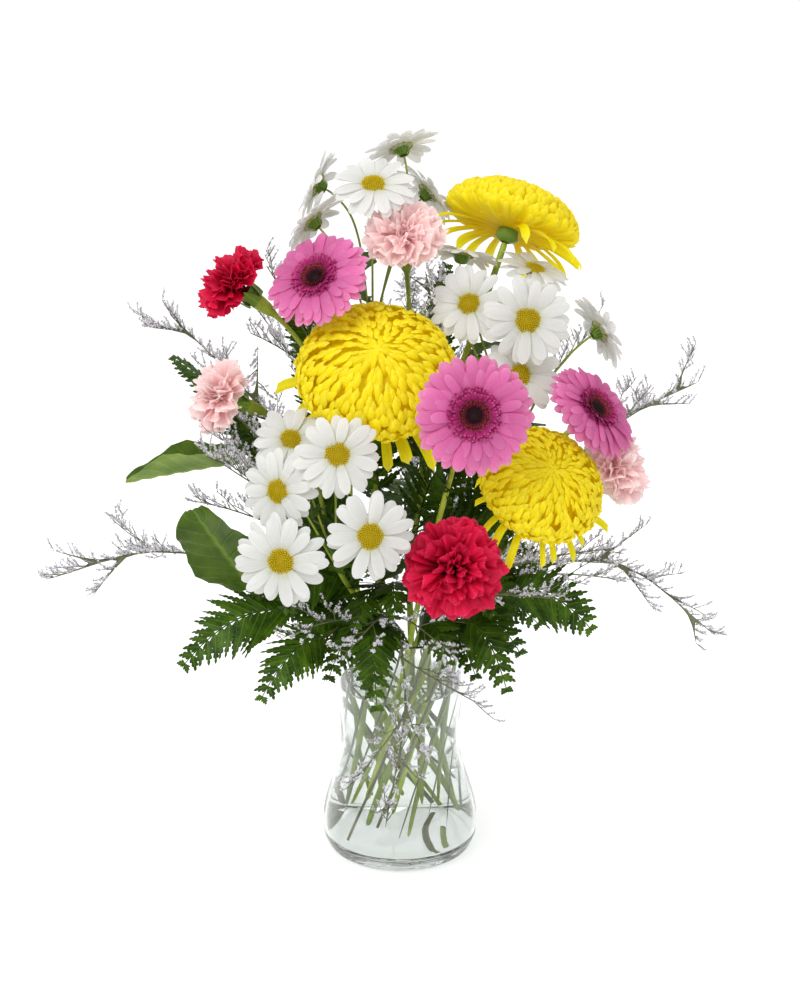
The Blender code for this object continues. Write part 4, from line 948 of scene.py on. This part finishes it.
def make_skirt():
    """The fronds that hide the neck all round, and the taller ones between the flowers."""
    rim = UP * VASE_HEIGHT
    places = []
    for tier, (count, first, *sizes) in enumerate(SKIRT):
        for k in range(count):
            places.append((f"skirt_{tier + 1}_{k + 1}", first + 360 * k / count, sizes))
    for k, (bearing, *sizes) in enumerate(BETWEEN):
        places.append((f"filler_{k + 1}", bearing, [*sizes, 12, 30]))
    for name, bearing, sizes in places:
        rng = random.Random(name)
        low, near, high, far, lift, half_width = (size / 1000 for size in sizes)
        for _ in range(12):
            turn = bearing + rng.uniform(-9, 9)
            reach = far * rng.uniform(0.88, 1.12)
            top = towards(turn + rng.uniform(-8, 8)) * reach + UP * (high + rng.uniform(-0.014, 0.014))
            rib = arched(towards(turn) * near + UP * low + rim, top + rim, lift)
            if clear_of_heads(rib, 0.003).all():
                break
        else:
            continue
        shape = Shape()
        frond(shape, rng, rib, half_width * rng.uniform(0.85, 1.12), turned_up(rib[-1]))
        finish_piece(shape.object(name + "_frond", "fern"), None, "fern")


def make_leaves():
    for name, (base, tip, half_width, facing, fold, power) in LEAVES.items():
        rng = random.Random(name)
        shape = Shape()
        tube(shape, stalk_line(name, place(base)), [STALK_RADIUS] * STALK_POINTS, 2, 6, 0.6)
        folded = fold > 0.5
        slots = (1, 0) if folded else (0, 0)
        blade(shape, rng, place(base), place(tip), half_width / 1000, towards(*facing), 30, 19, fold, 0.04,
              0.0, slots, power, 0.08)
        piece = shape.object(name + "_blade", "leaf", "leaf_under", "stem")
        finish_piece(piece, None, "leaf", name)


# ---- stems and sprigs

def soften(node, material, levels):
    """Keeps a CAD node with a new material, rounded by subdivision."""
    obj = NODES[node]
    obj.data.materials.clear()
    obj.data.materials.append(MATERIALS[material])
    weld = obj.modifiers.new("weld", "WELD")
    weld.merge_threshold = 0.00001
    round_off = obj.modifiers.new("round", "SUBSURF")
    round_off.levels = levels
    round_off.render_levels = levels


def leafy(node, count, size):
    """Lobed leaves along the upper part of a mum's or a daisy spray's stem."""
    rng = random.Random(node + "_leaves")
    high = [v for v in NODES[node].data.vertices if v.co.z > VASE_HEIGHT + 0.03]
    spots = {tuple(round(c, 4) for c in v.co): v.normal.copy() for v in high}
    ordered = sorted(spots)
    shape = Shape()
    made = 0
    for spot in rng.sample(ordered, min(len(ordered), count * 4)):
        out = (spots[spot] * 0.9 + UP * rng.uniform(0.1, 0.7)).normalized()
        length = size * rng.uniform(0.7, 1.2)
        tip = Vector(spot) + out * length
        if made == count or not clear_of_heads([spot, (Vector(spot) + tip) / 2, tip], 0.004).all():
            continue
        upper = UP + out * 0.2
        blade(shape, rng, spot, tip, length * 0.30, upper, 20, 9, 0.25, 0.18, 0.50, (0, 0), 0.8, 0.03)
        made += 1
    if made:
        finish_piece(shape.object(node + "_leaves", "leaf_small"), None, "leaf")


def skeleton(node, apart):
    """Centres of the rings of a CAD stem, whose points lie nearer than apart, and which are joined."""
    mesh = NODES[node].data
    points = np.array([v.co[:] for v in mesh.vertices])
    keys, index = np.unique(np.round(points, 5), axis=0, return_inverse=True)
    index = index.reshape(-1)
    label = np.arange(len(keys))
    near = np.linalg.norm(keys[:, None] - keys[None], axis=2) < apart
    for i in range(len(keys)):
        close = np.flatnonzero(near[i])
        low = label[close].min()
        for other in set(label[close]):
            label[label == other] = low
    groups = np.unique(label)
    centres = np.array([keys[label == g].mean(0) for g in groups])
    lookup = {g: i for i, g in enumerate(groups)}
    joined = set()
    for polygon in mesh.polygons:
        ends = sorted({lookup[label[index[v]]] for v in polygon.vertices})
        joined.update((a, b) for a in ends for b in ends if a < b)
    return centres, sorted(joined)


def star_template():
    """A tiny flower: a pointed cup and four petals round it."""
    points, faces, along = [(0.0, 0.0, 0.0)], [], [0.0]
    for k in range(4):
        turn = k * pi / 2
        out, side = (cos(turn), sin(turn)), (-sin(turn), cos(turn))
        first = len(points)
        for reach, aside, height in ((0.16, -0.16, 0.62), (0.52, 0.0, 0.92), (0.16, 0.16, 0.62)):
            points.append((height, out[0] * reach + side[0] * aside, out[1] * reach + side[1] * aside))
        along += [0.2, 1.0, 0.2]
        faces.append((0, first, first + 1, first + 2))
    return np.array(points), np.array(faces), np.array(along), np.full(len(points), 0.5)


STAR = star_template()


def spike(shape, rng, here, way, up, length, stars):
    """A short curling spike with florets crowded along its upper side."""
    s = np.linspace(0, 1, 4)[:, None]
    bend = up * rng.uniform(0.15, 0.45)
    line = here + way * length * s + bend * length * s * s
    tube(shape, line, [0.00035, 0.0003, 0.00026, 0.0002], 0, 3)
    for k in range(max(4, int(length / 0.00055))):
        share = 0.18 + 0.82 * rng.random()
        at = here + way * length * share + bend * length * share**2
        out = unit(way * 0.45 + up * 0.75 + np.array([rng.gauss(0, 0.5) for _ in range(3)]))
        frame_axes = axes(out, unit(np.array([rng.gauss(0, 1) for _ in range(3)])))
        stars.append((at, frame_axes, rng.uniform(0.0016, 0.0025), rng.random()))


def feathered(shape, rng, p, q, stars, gap, size):
    """Spikes along both sides of a piece of twig."""
    way = unit(q - p)
    length = np.linalg.norm(q - p)
    side = unit(np.cross(way, [0.05, 0.1, 1.0]))
    up = np.cross(side, way)
    for k in range(max(1, round(length / gap))):
        at = p + way * length * (k + rng.random()) / max(1, round(length / gap))
        hand = rng.choice((-1, 1))
        out = way * rng.uniform(0.6, 1.0) + side * hand * rng.uniform(0.4, 0.9) + up * rng.uniform(-0.2, 0.7)
        out = unit(out)
        spike(shape, rng, at, out, unit(up + way * 0.3), rng.uniform(0.6, 1.25) * size, stars)


def branches(shape, rng, line, stars, gap, longest):
    """Curving side branches with spikes, alternating along a main twig; they shorten towards its tip."""
    steps = np.linalg.norm(np.diff(line, axis=0), axis=1)
    total = steps.sum()
    marks = np.concatenate([[0], np.cumsum(steps)]) / total
    count = max(2, round(total / gap))
    for k in range(count):
        share = 0.12 + 0.84 * (k + rng.uniform(0.2, 0.8)) / count
        at = along_line(line, marks, share)
        ahead = along_line(line, marks, min(1, share + 0.05))
        way = unit(ahead - at)
        side = unit(np.cross(way, [0, 0.15, 1.0])) * (1 if k % 2 else -1)
        up = np.array([0, 0, 1.0])
        length = longest * (1 - 0.55 * share) * rng.uniform(0.7, 1.1)
        lean = up * rng.uniform(-0.25, 0.75)
        bough = bezier([at, at + (way * 0.5 + side * 0.5 + lean * 0.5) * length * 0.4,
                        at + (way * 0.6 + side * 0.6 + lean) * length * 0.7,
                        at + (way * 0.95 + side * 0.5 + lean * 1.1) * length], np.linspace(0, 1, 6))
        tube(shape, bough, np.linspace(0.0005, 0.00028, 6), 0, 4)
        for a, b in zip(bough[2:], bough[3:]):
            feathered(shape, rng, a, b, stars, SPIKE_GAP, SPIKE_LENGTH)
    for share in np.linspace(0.72, 0.98, 5):
        at = along_line(line, marks, share)
        end = along_line(line, marks, min(1, share + 0.06))
        feathered(shape, rng, at, end, stars, SPIKE_GAP, SPIKE_LENGTH)


def finish_sprig(shape, stars, name, *nodes):
    clear = clear_of_heads([star[0] for star in stars], 0.0, 0.004)
    shape.scatter(STAR, [star for star, keep in zip(stars, clear) if keep], 1)
    piece = shape.object(name + "_florets", "sprig", "floret")
    finish_piece(piece, None, "sea_lavender", *nodes)


def dress_sprig(node):
    """Spikes of florets along the twigs of a CAD sea lavender sprig."""
    soften(node, "sprig", 1)
    centres, joined = skeleton(node, 0.0016)
    rng = random.Random(node)
    shape = Shape()
    stars = []
    from_axis = np.hypot(centres[:, 0], centres[:, 1])
    for a, b in joined:
        p, q = centres[a], centres[b]
        inside = max(p[2], q[2]) < VASE_HEIGHT + 0.02 and min(from_axis[a], from_axis[b]) < RIM_RADIUS
        if inside or np.linalg.norm(q - p) < 0.003:
            continue
        if from_axis[b] < from_axis[a] and p[2] > VASE_HEIGHT:
            p, q = q, p
        feathered(shape, rng, p, q, stars, *((0.0085, 0.0080) if "front" in node else (0.0046, 0.0105)))
        if np.linalg.norm(q - p) > 0.010 and rng.random() < 0.5:
            branches(shape, rng, np.array([p, (p + q) / 2, q]), stars, 0.030, 0.026)
    finish_sprig(shape, stars, node)


def make_sprigs():
    """The sprigs of sea lavender that only the looks hold."""
    for k, corners in enumerate(SPRIGS):
        name = f"lavender_fine_{k + 1}"
        rng = random.Random(name)
        base, middle, tip = (np.array(place(corner)) for corner in corners)
        line = bezier([base, (base + middle * 2) / 3, (middle * 2 + tip) / 3, tip], np.linspace(0, 1, 12))
        shape = Shape()
        stars = []
        tube(shape, line, np.linspace(0.0009, 0.0004, 12), 0, 5)
        branches(shape, rng, line, stars, 0.012, 0.034)
        finish_sprig(shape, stars, name)


# ---- vase and water

def wall_radius(z):
    if z < BULGE_HEIGHT:
        return FOOT_RADIUS + (BULGE_RADIUS - FOOT_RADIUS) * sin(pi / 2 * z / BULGE_HEIGHT)
    if z < WAIST_HEIGHT:
        share = (z - BULGE_HEIGHT) / (WAIST_HEIGHT - BULGE_HEIGHT)
        return BULGE_RADIUS + (WAIST_RADIUS - BULGE_RADIUS) * (1 - cos(pi * share)) / 2
    share = (z - WAIST_HEIGHT) / (VASE_HEIGHT - WAIST_HEIGHT)
    return WAIST_RADIUS + (RIM_RADIUS - WAIST_RADIUS) * share**1.5


def lathe(name, profile, material, steps=160):
    """A closed turned solid from a profile that starts and ends on the axis."""
    bm = bmesh.new()
    rings = []
    for radius, z in profile:
        if radius < 1e-6:
            rings.append([bm.verts.new((0, 0, z))])
            continue
        turns = [TAU * k / steps for k in range(steps)]
        rings.append([bm.verts.new((radius * cos(a), radius * sin(a), z)) for a in turns])
    for low, high in zip(rings, rings[1:]):
        for k in range(steps):
            n = (k + 1) % steps
            corners = [low[k % len(low)], low[n % len(low)], high[n % len(high)], high[k % len(high)]]
            bm.faces.new(list(dict.fromkeys(corners)))
    bmesh.ops.recalc_face_normals(bm, faces=bm.faces)
    mesh = bpy.data.meshes.new(name)
    bm.to_mesh(mesh)
    bm.free()
    mesh.materials.append(MATERIALS[material])
    mesh.shade_smooth()
    mesh.set_sharp_from_angle(angle=radians(50))
    return linked(name, mesh)


def inner_profile(low, high, count, inset):
    """Points up the inside of the wall between two heights, with the fillet above the floor."""
    points = []
    for k in range(count + 1):
        z = low + (high - low) * k / count
        above = (z - FLOOR) / FLOOR_FILLET
        cut = FLOOR_FILLET * (1 - sqrt(max(0.0, 1 - (1 - above) ** 2))) if above < 1 else 0.0
        points.append((wall_radius(z) - WALL - cut - inset, z))
    return points


def make_vase():
    inside = inner_profile(FLOOR, FLOOR + FLOOR_FILLET, 8, 0.0)
    inside += inner_profile(FLOOR + FLOOR_FILLET, VASE_HEIGHT - WALL / 2, 60, 0.0)[1:]
    half = WALL / 2
    turns = [pi * k / 8 for k in range(1, 8)]
    lip = [(RIM_RADIUS - half - half * cos(a), VASE_HEIGHT - half + half * sin(a)) for a in turns]
    outside = [(wall_radius(z), z) for z in np.linspace(VASE_HEIGHT - half, 0.002, 70)]
    foot = [(FOOT_RADIUS - 0.0006, 0.0006), (FOOT_RADIUS - 0.002, 0.0)]
    profile = [(0, FLOOR + 0.0004), *inside, *lip, *outside, *foot, (FOOT_RADIUS * 0.8, 0.0), (0, 0.0006)]
    piece = lathe("vase_glass", profile, "glass")
    finish_piece(piece, None, "vase", "vase")


def make_water():
    wall = inner_profile(FLOOR + 0.0002, FLOOR + FLOOR_FILLET, 8, 0.0001)
    wall += inner_profile(FLOOR + FLOOR_FILLET, WATER_LEVEL, 50, 0.0001)[1:]
    top = wall_radius(WATER_LEVEL) - WALL
    meniscus = [(top - 0.0012, WATER_LEVEL - 0.0008), (top - 0.003, WATER_LEVEL - 0.0012)]
    profile = [(0, FLOOR + 0.0006), *wall, *meniscus, (0, WATER_LEVEL - 0.0012)]
    piece = lathe("water_body", profile, "water")
    finish_piece(piece, None, "water", "water")


# ---- the whole

def main():
    make_stage()
    note_heads()
    heads = {"gerbera": gerbera, "daisy": daisy, "mum": mum, "carnation": carnation}
    stems = {"gerbera": "stem_thick", "mum": "stem", "daisy": "stem", "carnation": "stem"}
    for node in NODES:
        kind = node.split("_")[0]
        if node.endswith("_head"):
            heads[kind](node)
        elif node.endswith("_stem"):
            soften(node, stems[kind], 2)
            if kind in ("mum", "daisy"):
                leafy(node, 7, 0.036)
        elif node.startswith("lavender"):
            dress_sprig(node)
    make_ferns()
    make_skirt()
    make_leaves()
    make_sprigs()
    make_vase()
    make_water()


main()
